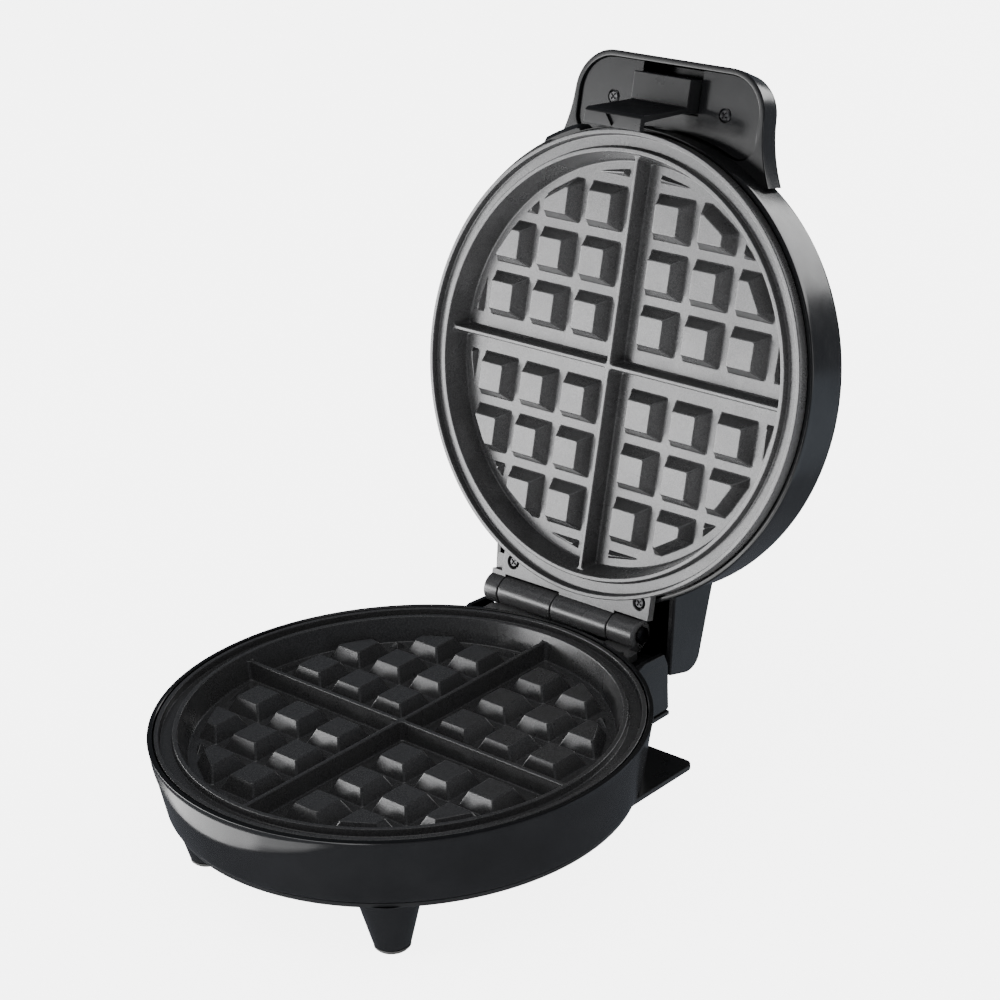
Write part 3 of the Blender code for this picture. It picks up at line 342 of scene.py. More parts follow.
def rounded(corners, closed=True, steps=3):
    """Polyline through (x, y, radius) corners, each corner rounded by its radius."""
    points = []
    count = len(corners)
    for i, (x, y, radius) in enumerate(corners):
        if radius <= 0 or (not closed and i in (0, count - 1)):
            points.append((x, y))
            continue
        here = Vector((x, y))
        before = Vector(corners[i - 1][:2]) - here
        after = Vector(corners[(i + 1) % count][:2]) - here
        half = before.angle(after) / 2
        reach = min(radius / math.tan(half), before.length * 0.49, after.length * 0.49)
        p = here + before.normalized() * reach
        q = here + after.normalized() * reach
        for k in range(steps + 1):
            t = k / steps
            points.append(tuple(p * (1 - t) ** 2 + here * 2 * t * (1 - t) + q * t * t))
    return points


def skin(bm, rings, cap_first=False, cap_last=False, closed=False):
    """Join rings of equal length with quads; a ring is a list of bmesh vertices."""
    pairs = list(zip(rings, rings[1:]))
    if closed:
        pairs.append((rings[-1], rings[0]))
    for ring, after in pairs:
        count = len(ring)
        for i in range(count):
            j = (i + 1) % count
            bm.faces.new((ring[i], ring[j], after[j], after[i]))
    if cap_first:
        bm.faces.new(list(reversed(rings[0])))
    if cap_last:
        bm.faces.new(rings[-1])


def ring_of(bm, points):
    return [bm.verts.new(p) for p in points]


def piece(name, bm, place, body, slot, material=None, sharp=32, replaces=()):
    """Turn a bmesh into a finished, placed object that rides on a CAD body."""
    bmesh.ops.remove_doubles(bm, verts=bm.verts, dist=WELD)
    bmesh.ops.dissolve_degenerate(bm, edges=bm.edges, dist=SLIVER)
    bmesh.ops.recalc_face_normals(bm, faces=bm.faces)
    mesh = bpy.data.meshes.new(name)
    bm.to_mesh(mesh)
    bm.free()
    return settle(name, mesh, place, body, slot, material, sharp, replaces)


def settle(name, mesh, place, body, slot, material=None, sharp=32, replaces=()):
    """Place a mesh, give it its material and shading, and let it ride on a CAD body."""
    mesh.transform(place)
    mesh.materials.clear()
    mesh.materials.append(MATERIALS[material or slot])
    mesh.shade_smooth()
    mesh.set_sharp_from_angle(angle=math.radians(sharp))
    obj = bpy.data.objects.new(name, mesh)
    bpy.context.scene.collection.objects.link(obj)
    weighted = obj.modifiers.new("weighted", "WEIGHTED_NORMAL")
    weighted.keep_sharp = True
    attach(obj, body)
    if replaces:
        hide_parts(*replaces)
    return obj


def spun(profile, angles=None, closed=True):
    """Turn an (r, z) outline about Z; an open outline that ends on the axis is capped there."""
    bm = bmesh.new()
    if angles is None:
        angles = [2 * math.pi * i / AROUND for i in range(AROUND)]
    rings = [ring_of(bm, [(r * math.cos(a), r * math.sin(a), z) for a in angles]) for r, z in profile]
    skin(bm, rings, cap_first=not closed, cap_last=not closed, closed=closed)
    return bm


def bevelled(bm, width, segments=3, least=30):
    """Round every edge that is sharper than an angle."""
    bmesh.ops.recalc_face_normals(bm, faces=bm.faces)
    edges = [e for e in bm.edges if len(e.link_faces) == 2 and e.calc_face_angle() > math.radians(least)]
    bmesh.ops.bevel(bm, geom=edges, offset=width, segments=segments, profile=0.5, affect="EDGES",
                    clamp_overlap=True)
    return bm


def prism(outline, low, high, axis="Z", bevel=0.0, segments=3):
    """Extrude an outline along an axis and round its edges."""
    bm = bmesh.new()
    rows = []
    for level in (low, high):
        row = []
        for a, b in outline:
            point = {"X": (level, a, b), "Y": (a, level, b), "Z": (a, b, level)}[axis]
            row.append(bm.verts.new(point))
        rows.append(row)
    skin(bm, rows, True, True)
    return bevelled(bm, bevel, segments) if bevel else bm


def object_from(bm):
    """Temporary object for a Boolean."""
    bmesh.ops.recalc_face_normals(bm, faces=bm.faces)
    mesh = bpy.data.meshes.new("part")
    bm.to_mesh(mesh)
    bm.free()
    obj = bpy.data.objects.new("part", mesh)
    bpy.context.scene.collection.objects.link(obj)
    return obj


def taken(obj):
    """Mesh of a temporary object, which is dropped."""
    mesh = obj.data
    bpy.data.objects.remove(obj)
    return mesh


def merged(parts):
    """One mesh from several closed bodies, united with an exact Boolean."""
    objects = [object_from(bm) for bm in parts]
    target = objects[0]
    for other in objects[1:]:
        target.data = boolean(target, other, "UNION")
    return taken(target)


def boolean(target, other, operation):
    """Mesh of a temporary object after a Boolean with another one, which is dropped."""
    mod = target.modifiers.new("boolean", "BOOLEAN")
    mod.operation = operation
    mod.solver = "EXACT"
    mod.object = other
    depsgraph = bpy.context.evaluated_depsgraph_get()
    mesh = bpy.data.meshes.new_from_object(target.evaluated_get(depsgraph), depsgraph=depsgraph)
    target.modifiers.clear()
    bpy.data.objects.remove(other)
    return mesh


# ---------------------------------------------------------------- cooking plates
FOOT_FILLET = 0.0008
EDGE_ROUND = 0.00045
POCKET_CORNER = 0.0016
ARC_STEPS = 40
END_STEPS = 2


def wall_line(foot, slope, radius, height):
    """Distance of a leaning wall at a height, with a fillet of a radius at its foot."""
    length = math.hypot(1.0, slope)
    centre = foot + slope * radius - radius * length
    tangent = radius * (1 - slope / length)
    if height < tangent:
        return centre + math.sqrt(radius**2 - (radius - height) ** 2)
    return foot + slope * height


def side_line(height):
    """Half thickness of a divider at a height: fillet at the foot, rounded top edge."""
    slope = (DIVIDER_FOOT - DIVIDER_TOP) / DIVIDER_HEIGHT
    half = -wall_line(-DIVIDER_FOOT, slope, FOOT_FILLET, height)
    over = max(0.0, height - (DIVIDER_HEIGHT - EDGE_ROUND))
    return half - (EDGE_ROUND - math.sqrt(EDGE_ROUND**2 - over**2))


def pocket_loop(height):
    """Anticlockwise outline of one quarter pocket; its parts are returned one by one."""
    s = side_line(height)
    radius = wall_line(RECESS_RADIUS, WALL_DRAFT, FOOT_FILLET, height)
    c = POCKET_CORNER
    xc = math.sqrt((radius - c) ** 2 - (s + c) ** 2)
    a0 = math.degrees(math.atan2(s + c, xc))
    corner = arc((xc, s + c), c, -90, a0, 4)
    wall = arc((0, 0), radius, a0, 90 - a0, ARC_STEPS)[1:-1]
    corner_2 = [(y, x) for x, y in reversed(corner)]
    centre = arc((s + c, s + c), c, 180, 270, 4)
    return corner, wall, corner_2, centre, a0


def stud_outline(x0, y0, distance, corner, directions=36):
    """Outline of square-and-circle stud, moved in by a distance, with rounded corners."""
    low_x, low_y = x0 + distance + corner, y0 + distance + corner
    high_x, high_y = x0 + STUD_SIZE - distance - corner, y0 + STUD_SIZE - distance - corner
    radius = STUD_CIRCLE - distance - corner
    spots = [(x, y) for x in (low_x, high_x) for y in (low_y, high_y) if math.hypot(x, y) <= radius]
    for x in (low_x, high_x):
        if abs(x) < radius and low_y <= math.sqrt(radius**2 - x**2) <= high_y:
            spots.append((x, math.sqrt(radius**2 - x**2)))
    for y in (low_y, high_y):
        if abs(y) < radius and low_x <= math.sqrt(radius**2 - y**2) <= high_x:
            spots.append((math.sqrt(radius**2 - y**2), y))
    points = []
    for i in range(directions):
        a = 2 * math.pi * (i + 0.5) / directions
        d = (math.cos(a), math.sin(a))
        on_circle = (radius * d[0], radius * d[1])
        if low_x <= on_circle[0] <= high_x and low_y <= on_circle[1] <= high_y:
            best = on_circle
        elif spots:
            best = max(spots, key=lambda p: p[0] * d[0] + p[1] * d[1])
        else:
            return None
        points.append((best[0] + corner * d[0], best[1] + corner * d[1]))
    return points


def stud_room(x0, y0):
    """Largest inset that still leaves an outline."""
    room = 0.0
    while room < STUD_INSET + 0.0012:
        high = STUD_SIZE - room
        if 2 * room > STUD_SIZE or math.hypot(x0 + room, y0 + room) > STUD_CIRCLE - room or high < room:
            break
        room += 0.00005
    return room


def stud_profile(scale):
    """(inset, height, corner radius) rows from the floor to the stud's rounded top edge."""
    path = rounded([(-0.0012, 0.0, 0.0), (0.0, 0.0, FOOT_FILLET), (STUD_INSET, STUD_HEIGHT, 0.0007),
                    (STUD_INSET + 0.0012, STUD_HEIGHT, 0.0)], closed=False)
    rows = path[1:-1]
    return [(d * scale, h * scale) for d, h in rows]


def stud_stack(bm, floor, turn, x0, y0):
    """Rings of one stud from its foot to its top; None when too little of it is left."""
    scale = min(1.0, STUD_FILL * stud_room(x0, y0) / STUD_INSET)
    stack = []
    for distance, height in stud_profile(scale):
        corner = (0.0004 + 0.0005 * scale) * (1.0 if distance > 0 else 1.3)
        outline = stud_outline(x0, y0, distance, corner * scale)
        if outline is None:
            break
        stack.append(ring_of(bm, [turn @ Vector((x, y, floor + height)) for x, y in outline]))
    if len(stack) >= LEAST_RINGS:
        return stack
    for ring in stack:
        bmesh.ops.delete(bm, geom=ring, context="VERTS")
    return None


def wall_heights():
    """Heights of the rings that form a pocket's wall: fillet, slope and rounded top edge."""
    heights = [FOOT_FILLET * (1 - math.cos(math.radians(a))) for a in (0, 25, 50, 75)]
    top = DIVIDER_HEIGHT - EDGE_ROUND
    heights += [top * 0.5, top]
    return heights + [top + EDGE_ROUND * math.sin(math.radians(a)) for a in (30, 60, 90)]


def add_quarter(bm, floor, turn):
    """Pocket walls, floor and studs of one quarter of the grid."""
    rings = []
    for height in wall_heights():
        corner, wall, corner_2, centre, _ = pocket_loop(height)
        loop = corner + wall + corner_2 + centre
        rings.append(ring_of(bm, [turn @ Vector((x, y, floor + height)) for x, y in loop]))
    skin(bm, rings)
    loops = [rings[0]]
    for i in range(STUDS):
        for j in range(STUDS):
            x0 = STUD_FIRST + i * STUD_PITCH
            y0 = STUD_FIRST + j * STUD_PITCH
            if math.hypot(x0, y0) > STUD_CIRCLE - 0.0015:
                continue
            stack = stud_stack(bm, floor, turn, x0, y0)
            if stack is not None:
                skin(bm, stack, cap_last=True)
                loops.append(stack[0])
    flat = [v for loop in loops for v in loop]
    for a, b, c in tessellate_polygon([[v.co.copy() for v in loop] for loop in loops]):
        bm.faces.new((flat[a], flat[b], flat[c]))


def add_cross(bm, floor):
    """Flat top of the cross-shaped divider, and the angles of the ring that it meets."""
    corner, _, _, centre, a0 = pocket_loop(DIVIDER_HEIGHT)
    z = floor + DIVIDER_HEIGHT
    radius = wall_line(RECESS_RADIUS, WALL_DRAFT, FOOT_FILLET, DIVIDER_HEIGHT)
    middle_loop = []
    for q in range(4):
        turn = Matrix.Rotation(q * math.pi / 2, 4, "Z")
        upper = [turn @ Vector((x, y, z)) for x, y in [centre[-1]] + corner]
        lower = [turn @ Vector((x, -y, z)) for x, y in [centre[-1]] + corner]
        for k in range(len(upper) - 1):
            spots = (upper[k], upper[k + 1], lower[k + 1], lower[k])
            bm.faces.new([bm.verts.new(p) for p in spots])
        end = arc((0, 0), radius, a0, -a0, END_STEPS + 1)
        bm.faces.new([bm.verts.new(turn @ Vector((x, y, z))) for x, y in end])
        middle_loop += [turn @ Vector((x, y, z)) for x, y in reversed(centre)]
    bm.faces.new([bm.verts.new(p) for p in middle_loop])
    angles = []
    for q in range(4):
        for i in range(ARC_STEPS):
            angles.append(math.radians(90 * q + a0 + (90 - 2 * a0) * i / ARC_STEPS))
        for i in range(END_STEPS + 1):
            angles.append(math.radians(90 * q + 90 - a0 + 2 * a0 * i / (END_STEPS + 1)))
    return angles, radius, z


def plate_mesh():
    """Face-up cooking plate as one closed mesh."""
    bm = bmesh.new()
    floor = RIM_Z - RECESS_DEPTH
    for q in range(4):
        add_quarter(bm, floor, Matrix.Rotation(q * math.pi / 2, 4, "Z"))
    angles, radius, z = add_cross(bm, floor)
    groove = RIM_Z - CHANNEL_DEPTH
    edge = RIM_Z - PLATE_EDGE
    under = floor - PLATE_FLOOR
    corners = [(radius, z, 0.0), (INNER_LIP[0], RIM_Z, 0.0005), (INNER_LIP[1], RIM_Z, LIP_ROUND)]
    corners += [(CHANNEL[0], groove, 0.0006), (CHANNEL[1], groove, 0.0006), (OUTER_LIP_R, RIM_Z, LIP_ROUND)]
    corners += [(PLATE_RADIUS, RIM_Z, LIP_ROUND), (PLATE_RADIUS, edge, LIP_ROUND)]
    corners.append((PLATE_SHOULDER, edge, 0.0))
    corners += [(PLATE_UNDER_R, under, 0.0010), (0.0100, under, 0.0)]
    rings = []
    for r, h in rounded(corners, closed=False):
        rings.append(ring_of(bm, [(r * math.cos(a), r * math.sin(a), h) for a in angles]))
    skin(bm, rings, cap_last=True)
    return bm


def barrel(near, far, axis_z):
    """One hinge barrel with rounded ends, along X."""
    radius = KNUCKLE_RADIUS
    profile = [(near, radius - 0.0006), (near + 0.0002, radius - 0.0002), (near + 0.0006, radius)]
    profile += [(far - 0.0006, radius), (far - 0.0002, radius - 0.0002), (far, radius - 0.0006)]
    bm = bmesh.new()
    rings = []
    for x, r in profile:
        points = arc((HINGE_Y, axis_z), r, 0, 360, 48)[:-1]
        rings.append(ring_of(bm, [(x, a, b) for a, b in points]))
    skin(bm, rings, True, True)
    return bm


def flange_sink(side, face):
    """Cutter for a flange screw's recess, with a broken edge."""
    floor = face - SINK_DEPTH
    wide = SINK_R + 0.0004
    profile = [(0.0003, floor), (SINK_R, floor), (SINK_R, face - 0.0003), (wide, face + 0.0001)]
    profile += [(wide, face + 0.0010), (0.0003, face + 0.0010)]
    sink = spun(profile, [2 * math.pi * i / 48 for i in range(48)], closed=False)
    bmesh.ops.translate(sink, verts=sink.verts, vec=(side * FLANGE_SCREW[0], FLANGE_SCREW[1], 0.0))
    return sink


def hinge_part(knuckles, mirrored):
    """Flange with its barrels, as one body, in the face-up plate's place."""
    face = RIM_Z - FLANGE_STEP
    low = RIM_Z - FLANGE_THICK
    root = FLANGE_BACK - WEB_ROOT
    reach = math.degrees(math.acos(FLANGE_HALF / FLANGE_RADIUS))
    outline = arc((0, 0), FLANGE_RADIUS, 180 - reach, reach, 24)
    outline += [(FLANGE_HALF, FLANGE_BACK), (-FLANGE_HALF, FLANGE_BACK)]
    parts = [prism(outline, low, face, "Z", 0.0003, 2)]
    for near, far in knuckles:
        if mirrored:
            near, far = -far, -near
        parts.append(barrel(near, far, PLATE_FLIP if mirrored else 0.0))
        web = [(root, low), (HINGE_Y, low), (HINGE_Y, face), (root, face)]
        parts.append(prism(web, near + 0.0001, far - 0.0001, "X"))
    if mirrored:
        arm_low, arm_high = RIM_Z + ARM_LEVELS[0], RIM_Z + ARM_LEVELS[1]
        arm = [(ARM_NEAR, arm_low), (FLANGE_BACK, arm_low), (FLANGE_BACK, arm_high), (ARM_NEAR, arm_high)]
        parts.append(prism(arm, FLANGE_HALF - ARM_ROOT, -LID_KNUCKLES[0][0] - 0.0001, "X"))
    body = bpy.data.objects.new("flange", merged(parts))
    bpy.context.scene.collection.objects.link(body)
    for side in (-1, 1):
        body.data = boolean(body, object_from(flange_sink(side, face)), "DIFFERENCE")
    return taken(body)


def flatten(obj, place):
    """Flat shading for the faces that lie square to the plate axis, so fillets start crisply."""
    axis = (place.to_3x3() @ Vector((0.0, 0.0, 1.0))).normalized()
    for face in obj.data.polygons:
        if abs(face.normal.dot(axis)) > 0.9999:
            face.use_smooth = False


def build_plates():
    bm = plate_mesh()
    face = piece("lower_plate_face", bm, TO_BASE, "base", COATING, None, 40, ("lower_plate",))
    flatten(face, TO_BASE)
    mesh = hinge_part(BASE_KNUCKLES, False)
    settle("lower_hinge_flange", mesh, TO_BASE, "base", COATING, None, 35)
    bm = plate_mesh()
    face = piece("upper_plate_face", bm, TO_LID @ FLIP, "lid", COATING, None, 40, ("upper_plate",))
    flatten(face, TO_LID)
    mesh = hinge_part(LID_KNUCKLES, True)
    settle("upper_hinge_flange", mesh, TO_LID @ FLIP, "lid", COATING, None, 35)


# ---------------------------------------------------------------- base
def base_wall_radius(z):
    share = (BASE_TOP_Z - z) / (BASE_TOP_Z - BASE_BOTTOM_Z)
    return WALL_TOP_R + (BASE_BOTTOM_R - WALL_TOP_R) * share


def base_section(azimuth):
    """(r, z) outline of the base wall at an angle from the front, with its crescent catch."""
    share = min(1.0, abs(azimuth) / CHIN_HALF_ANGLE)
    swell = math.cos(share * math.pi / 2)
    low = BASE_TOP_Z - 0.0016 - (CHIN_DROP - 0.0004) * swell
    out = base_wall_radius(low) + (CHIN_PROUD - CHIN_SINK) * swell
    start = BASE_TOP_Z - CHIN_EDGE - CHIN_TOP * swell
    root = base_wall_radius(start)
    points = [(LIP_INNER_R, LEDGE_LOW_Z), (LIP_INNER_R, BASE_TOP_Z - 0.0003)]
    points += [(LIP_INNER_R + 0.0003, BASE_TOP_Z), (WALL_TOP_R - 0.0006, BASE_TOP_Z)]
    points.append((WALL_TOP_R - 0.0002, BASE_TOP_Z - 0.0002))
    points += [(base_wall_radius(BASE_TOP_Z - 0.0006), BASE_TOP_Z - 0.0006), (root, start)]
    points += [(root + (out - root) * t, start + (low - start) * t) for t in (0.12, 0.5, 0.86)]
    points += [(out - 0.0002 * swell, low - 0.0001), (out - 0.0008 * swell, low - 0.0004)]
    foot = low - 0.0008
    levels = [foot + (BASE_BOTTOM_Z + 0.0014 - foot) * t for t in (0.0, 0.08, 0.5, 0.92)]
    points += [(base_wall_radius(z), z) for z in levels + [BASE_BOTTOM_Z + 0.0009]]
    points += [(BASE_BOTTOM_R - 0.0003, BASE_BOTTOM_Z + 0.0003), (BASE_BOTTOM_R - 0.0010, BASE_BOTTOM_Z)]
    points.append((BASE_BOTTOM_R - SHELL_WALL, BASE_BOTTOM_Z))
    return points + [(LEDGE_R, LEDGE_LOW_Z - 0.0023), (LEDGE_R, LEDGE_LOW_Z)]


def build_base_wall():
    bm = bmesh.new()
    sections = []
    count = 2 * AROUND
    for i in range(count):
        azimuth = 2 * math.pi * i / count
        azimuth = azimuth - 2 * math.pi if azimuth > math.pi else azimuth
        ring = [(r * math.sin(azimuth), -r * math.cos(azimuth), z) for r, z in base_section(azimuth)]
        sections.append(ring_of(bm, ring))
    skin(bm, sections, closed=True)
    piece("base_wall", bm, TO_BASE, "base", HOUSING, None, 34, ("base_housing",))


def oblong(half, front, back):
    return [(-half, front), (half, front), (half, back), (-half, back)]


def build_rear_block():
    """Block under the hinge, with the hole for the bush and a cheek at each end of the hinge."""
    outline = oblong(REAR_HALF, 0.0800, REAR_BLOCK_Y)
    block = object_from(prism(outline, BASE_BOTTOM_Z, REAR_BLOCK_TOP, "Z", 0.0012, 3))
    inside = spun([(0.0010, -0.0400), (INNER_BORE, -0.0400), (INNER_BORE, 0.0), (0.0010, 0.0)],
                  closed=False)
    block.data = boolean(block, object_from(inside), "DIFFERENCE")
    gland = prism(arc((GLAND_X, GLAND_Z), GLAND_HOLE_R, 0, 360, 32)[:-1], 0.0900, 0.1200, "Y")
    block.data = boolean(block, object_from(gland), "DIFFERENCE")
    settle("rear_block", taken(block), TO_BASE, "base", HOUSING)
    back = REAR_BLOCK_Y - 0.0002
    cheek = [(0.0893, -0.0064), (0.0955, -0.0044), (HINGE_Y, -0.0052), (back, -0.0110), (back, -0.0200)]
    cheek.append((0.0893, -0.0200))
    for side, name in ((-1, "left"), (1, "right")):
        near, far = sorted((side * (REAR_HALF - 0.0028), side * (REAR_HALF - 0.0001)))
        piece("hinge_cheek_" + name, prism(cheek, near, far, "X", 0.0005, 2), TO_BASE, "base", HOUSING)


def build_cover():
    """Bottom cover with vents, screw recesses, wings, the tail under the hinge and four legs."""
    top = BASE_BOTTOM_Z - GAP
    low = top - COVER_THICK
    disc = [(0.0500, top, 0.0), (COVER_TOP_R, top, 0.0004), (COVER_LOW_R, low, 0.0006), (0.0500, low, 0.0)]
    cover = object_from(spun(rounded(disc, closed=False), closed=False))
    for i in range(VENT_COUNT):
        x = (i - (VENT_COUNT - 1) / 2) * VENT_PITCH
        slot = arc((x, VENT_ENDS[1]), VENT_HALF, 0, 180, 8) + arc((x, VENT_ENDS[0]), VENT_HALF, 180, 360, 8)
        cover.data = boolean(cover, object_from(prism(slot, low - 0.001, top + 0.001)), "DIFFERENCE")
    for x, y in COVER_SCREWS:
        sink = arc((x, y), COVER_SINK_R, 0, 360, 40)[:-1]
        cover.data = boolean(cover, object_from(prism(sink, low - 0.001, low + 0.0012)), "DIFFERENCE")
    settle("bottom_cover", taken(cover), TO_BASE, "base", HOUSING, "satin", 32, ("base_cover",))
    inner_x, inner_y = WING_HALF - WING_CORNER, WING_BACK - WING_CORNER
    outline = arc((inner_x, inner_y), WING_CORNER, 0, 90, 6)
    outline += arc((-inner_x, inner_y), WING_CORNER, 90, 180, 6)
    outline += [(-WING_HALF, WING_FRONT), (WING_HALF, WING_FRONT)]
    wings = prism(outline, low + 0.0001, top - 0.0001, "Z", 0.0003, 2)
    piece("cover_wings", wings, TO_BASE, "base", HOUSING, "satin")
    tail = prism(oblong(REAR_HALF, TAIL_FRONT, REAR_BLOCK_Y), low + 0.0002, top - 0.0002, "Z", 0.0005, 2)
    piece("cover_tail", tail, TO_BASE, "base", HOUSING, "satin")
    build_legs(low)


def build_legs(low):
    corners = [(0.0020, low + 0.0010, 0.0), (LEG_TOP_R + 0.0012, low + 0.0006, 0.0)]
    corners += [(LEG_TOP_R, low - 0.0004, 0.0012), (LEG_FOOT_R, LEG_FOOT_Z, 0.0008)]
    corners.append((0.0020, LEG_FOOT_Z, 0.0))
    angles = [2 * math.pi * i / 64 for i in range(64)]
    names = ("front_left", "front_right", "rear_left", "rear_right")
    for name, (x, y) in zip(names, LEGS):
        bm = spun(rounded(corners, closed=False), angles, closed=False)
        bmesh.ops.translate(bm, verts=bm.verts, vec=(x, y, 0.0))
        piece("leg_" + name, bm, TO_BASE, "base", HOUSING)


# ---------------------------------------------------------------- lid
def lid_wall_radius(z):
    share = (z - LID_EDGE_Z) / (LID_TOP_Z - LID_EDGE_Z)
    return WALL_TOP_R + (LID_TOP_R - WALL_TOP_R) * share


def thin_lip(bm):
    """Thin the lid wall from outside where the hood hides it."""
    for vert in bm.verts:
        radius = math.hypot(vert.co.x, vert.co.y)
        turn = abs(math.degrees(math.atan2(vert.co.x, -vert.co.y)))
        if radius > LIP_INNER_R + 0.0004 and vert.co.z < COVER_FACE_Z:
            share = max(0.0, min(1.0, (THIN_FROM - turn) / THIN_OVER))
            wanted = radius - (radius - LIP_INNER_R - THIN_LIP) * share
            vert.co.x *= wanted / radius
            vert.co.y *= wanted / radius


def build_lid_shell():
    shoulder = LID_TOP_Z - CROWN
    edge = LID_EDGE_Z + 0.0007
    crest = LID_TOP_Z + CROWN_RISE
    profile = [(0.0020, 0.0282), (0.0900, 0.0279), (0.0940, 0.0250), (LEDGE_R, 0.0053), (LEDGE_R, LEDGE_Z)]
    profile += [(LIP_INNER_R, LEDGE_Z), (LIP_INNER_R, LID_EDGE_Z + 0.0003)]
    profile += [(LIP_INNER_R + 0.0003, LID_EDGE_Z), (WALL_TOP_R - 0.0006, LID_EDGE_Z)]
    profile += [(WALL_TOP_R - 0.0002, LID_EDGE_Z + 0.0002), (WALL_TOP_R - 0.0001, edge)]
    for t in (0.1, 0.5, 0.9, 1.0):
        z = edge + (shoulder - edge) * t
        profile.append((lid_wall_radius(z), z))
    crown_r = lid_wall_radius(shoulder) - CROWN
    for degrees in (12, 24, 36, 48, 60, 72, 84):
        a = math.radians(degrees)
        profile.append((crown_r + CROWN * math.cos(a), shoulder + CROWN * math.sin(a)))
    for t in (0.06, 0.35, 0.65, 0.9):
        profile.append((crown_r * (1 - t), crest - CROWN_RISE * (1 - t) ** 2))
    profile.append((0.0020, crest))
    bm = spun(profile, closed=False)
    thin_lip(bm)
    piece("lid_shell", bm, TO_LID, "lid", HOUSING, None, 34, ("lid_housing",))


def hood_outline(half, front, corner):
    """Plan of the hood from its front corner to the spread foot against the lid, both sides."""
    right = arc((half - corner, -front + corner), corner, -90, 0, 12)
    for i in range(1, 11):
        t = i / 10
        right.append((half + HOOD_FLARE * t * t, -FLARE_FROM + (FLARE_FROM - HOOD_BACK) * t))
    return right + [(-x, y) for x, y in reversed(right)]


def cavity_outline(inset):
    """Plan of the hood's inside, with round corners beside the lid wall, both sides."""
    half = HOOD_HALF - inset
    front = HOOD_FRONT - inset
    corner = HOOD_CORNER - inset
    right = arc((half - corner, -front + corner), corner, -90, 0, 12)
    inner = CAVITY_FILLET + HOOD_WALL - inset
    wall = WALL_TOP_R - 0.0016
    centre_x = half - inner
    centre_y = -math.sqrt((wall + inner) ** 2 - centre_x**2)
    reach = math.degrees(math.asin(centre_x / (wall + inner)))
    right += arc((centre_x, centre_y), inner, 0, 90 + reach, 9)
    return right + [(-x, y) for x, y in reversed(right)]


def build_hood():
    """Tray-shaped handle: rounded rim, drafted outer wall, rounded crown, hollow towards the base."""
    rim = HOOD_RIM_Z
    wall = HOOD_WALL
    ceiling = LID_TOP_Z - wall
    shoulder = LID_TOP_Z - HOOD_CROWN
    levels = [(ceiling, cavity_outline(wall + 0.0012)), (ceiling - 0.0020, cavity_outline(wall + 0.0004))]
    levels += [(COVER_FACE_Z, cavity_outline(wall)), (rim + 0.0004, cavity_outline(wall))]
    levels += [(rim + 0.0001, cavity_outline(wall - 0.00015)), (rim, cavity_outline(wall - 0.0005))]
    for z, inset in ((0.0, 0.0005), (0.0001, 0.00015), (0.0005, 0.0)):
        levels.append((rim + z, hood_outline(HOOD_HALF - inset, HOOD_FRONT - inset, HOOD_CORNER)))
    middle = hood_outline(HOOD_HALF - 0.0013, HOOD_FRONT - 0.0007, HOOD_CORNER - 0.0010)
    levels.append(((rim + shoulder) / 2, middle))
    for degrees in (0, 18, 36, 54, 72, 90):
        a = math.radians(degrees)
        turn = 1 - math.cos(a)
        half = HOOD_HALF - 0.0028 - 0.0038 * turn
        front = HOOD_FRONT - 0.0018 - 0.0036 * turn
        corner = HOOD_CORNER - 0.0020 - 0.0030 * turn
        levels.append((shoulder + HOOD_CROWN * math.sin(a), hood_outline(half, front, corner)))
    bm = bmesh.new()
    rings = [ring_of(bm, [(x, y, z) for x, y in outline]) for z, outline in levels]
    skin(bm, rings, True, True)
    piece("handle_hood", bm, TO_LID, "lid", HOUSING, None, 34)


def build_collar():
    """Sloping foot of the hood on the edge of the lid, left of the latch."""
    bm = bmesh.new()
    root = FOOT_ROOT_R
    section = rounded([(root, 0.0026, 0.0), (0.1022, 0.0026, 0.0003), (0.1042, 0.0046, 0.0004),
                       (0.1042, 0.0110, 0.0008), (root, 0.0140, 0.0)], closed=False)
    rings = []
    steps = 32
    start, end = FOOT_ANGLES
    for i in range(steps + 1):
        t = i / steps
        a = math.radians(start + (end - start) * t)
        swell = min(1.0, 0.1 + 0.9 * math.sqrt(12.0 * t), 0.1 + 0.9 * math.sqrt(12.0 * (1 - t)))
        ring = [(root + (r - root) * swell, z) for r, z in section]
        rings.append(ring_of(bm, [(r * math.sin(a), -r * math.cos(a), z) for r, z in ring]))
    skin(bm, rings, True, True)
    piece("hood_foot", bm, TO_LID, "lid", HOUSING, None, 34)


def build_rear_box():
    """Box over the hinge, hollow from below and open towards the round shell."""
    outline = [(0.0800, LID_EDGE_Z + 0.0004), (0.0900, LID_EDGE_Z + 0.0006), (BOX_BACK_Y, 0.0074)]
    outline += arc((BOX_BACK_Y - BOX_CORNER, 0.0185), BOX_CORNER, 0, 80, 8)
    outline += [(0.0920, 0.0284), (0.0800, 0.0294)]
    box = object_from(prism(outline, -REAR_HALF, REAR_HALF, "X", 0.0010, 3))
    well = prism(oblong(REAR_HALF - SHELL_WALL, 0.0900, BOX_BACK_Y - SHELL_WALL), -0.0050, 0.0240)
    shell = spun([(0.0010, -0.0100), (LIP_INNER_R, -0.0100), (LIP_INNER_R, LEDGE_Z), (INNER_BORE, LEDGE_Z),
                  (INNER_BORE, 0.0400), (0.0010, 0.0400)], closed=False)
    for bm in (well, shell):
        box.data = boolean(box, object_from(bm), "DIFFERENCE")
    settle("lid_rear_box", taken(box), TO_LID, "lid", HOUSING)


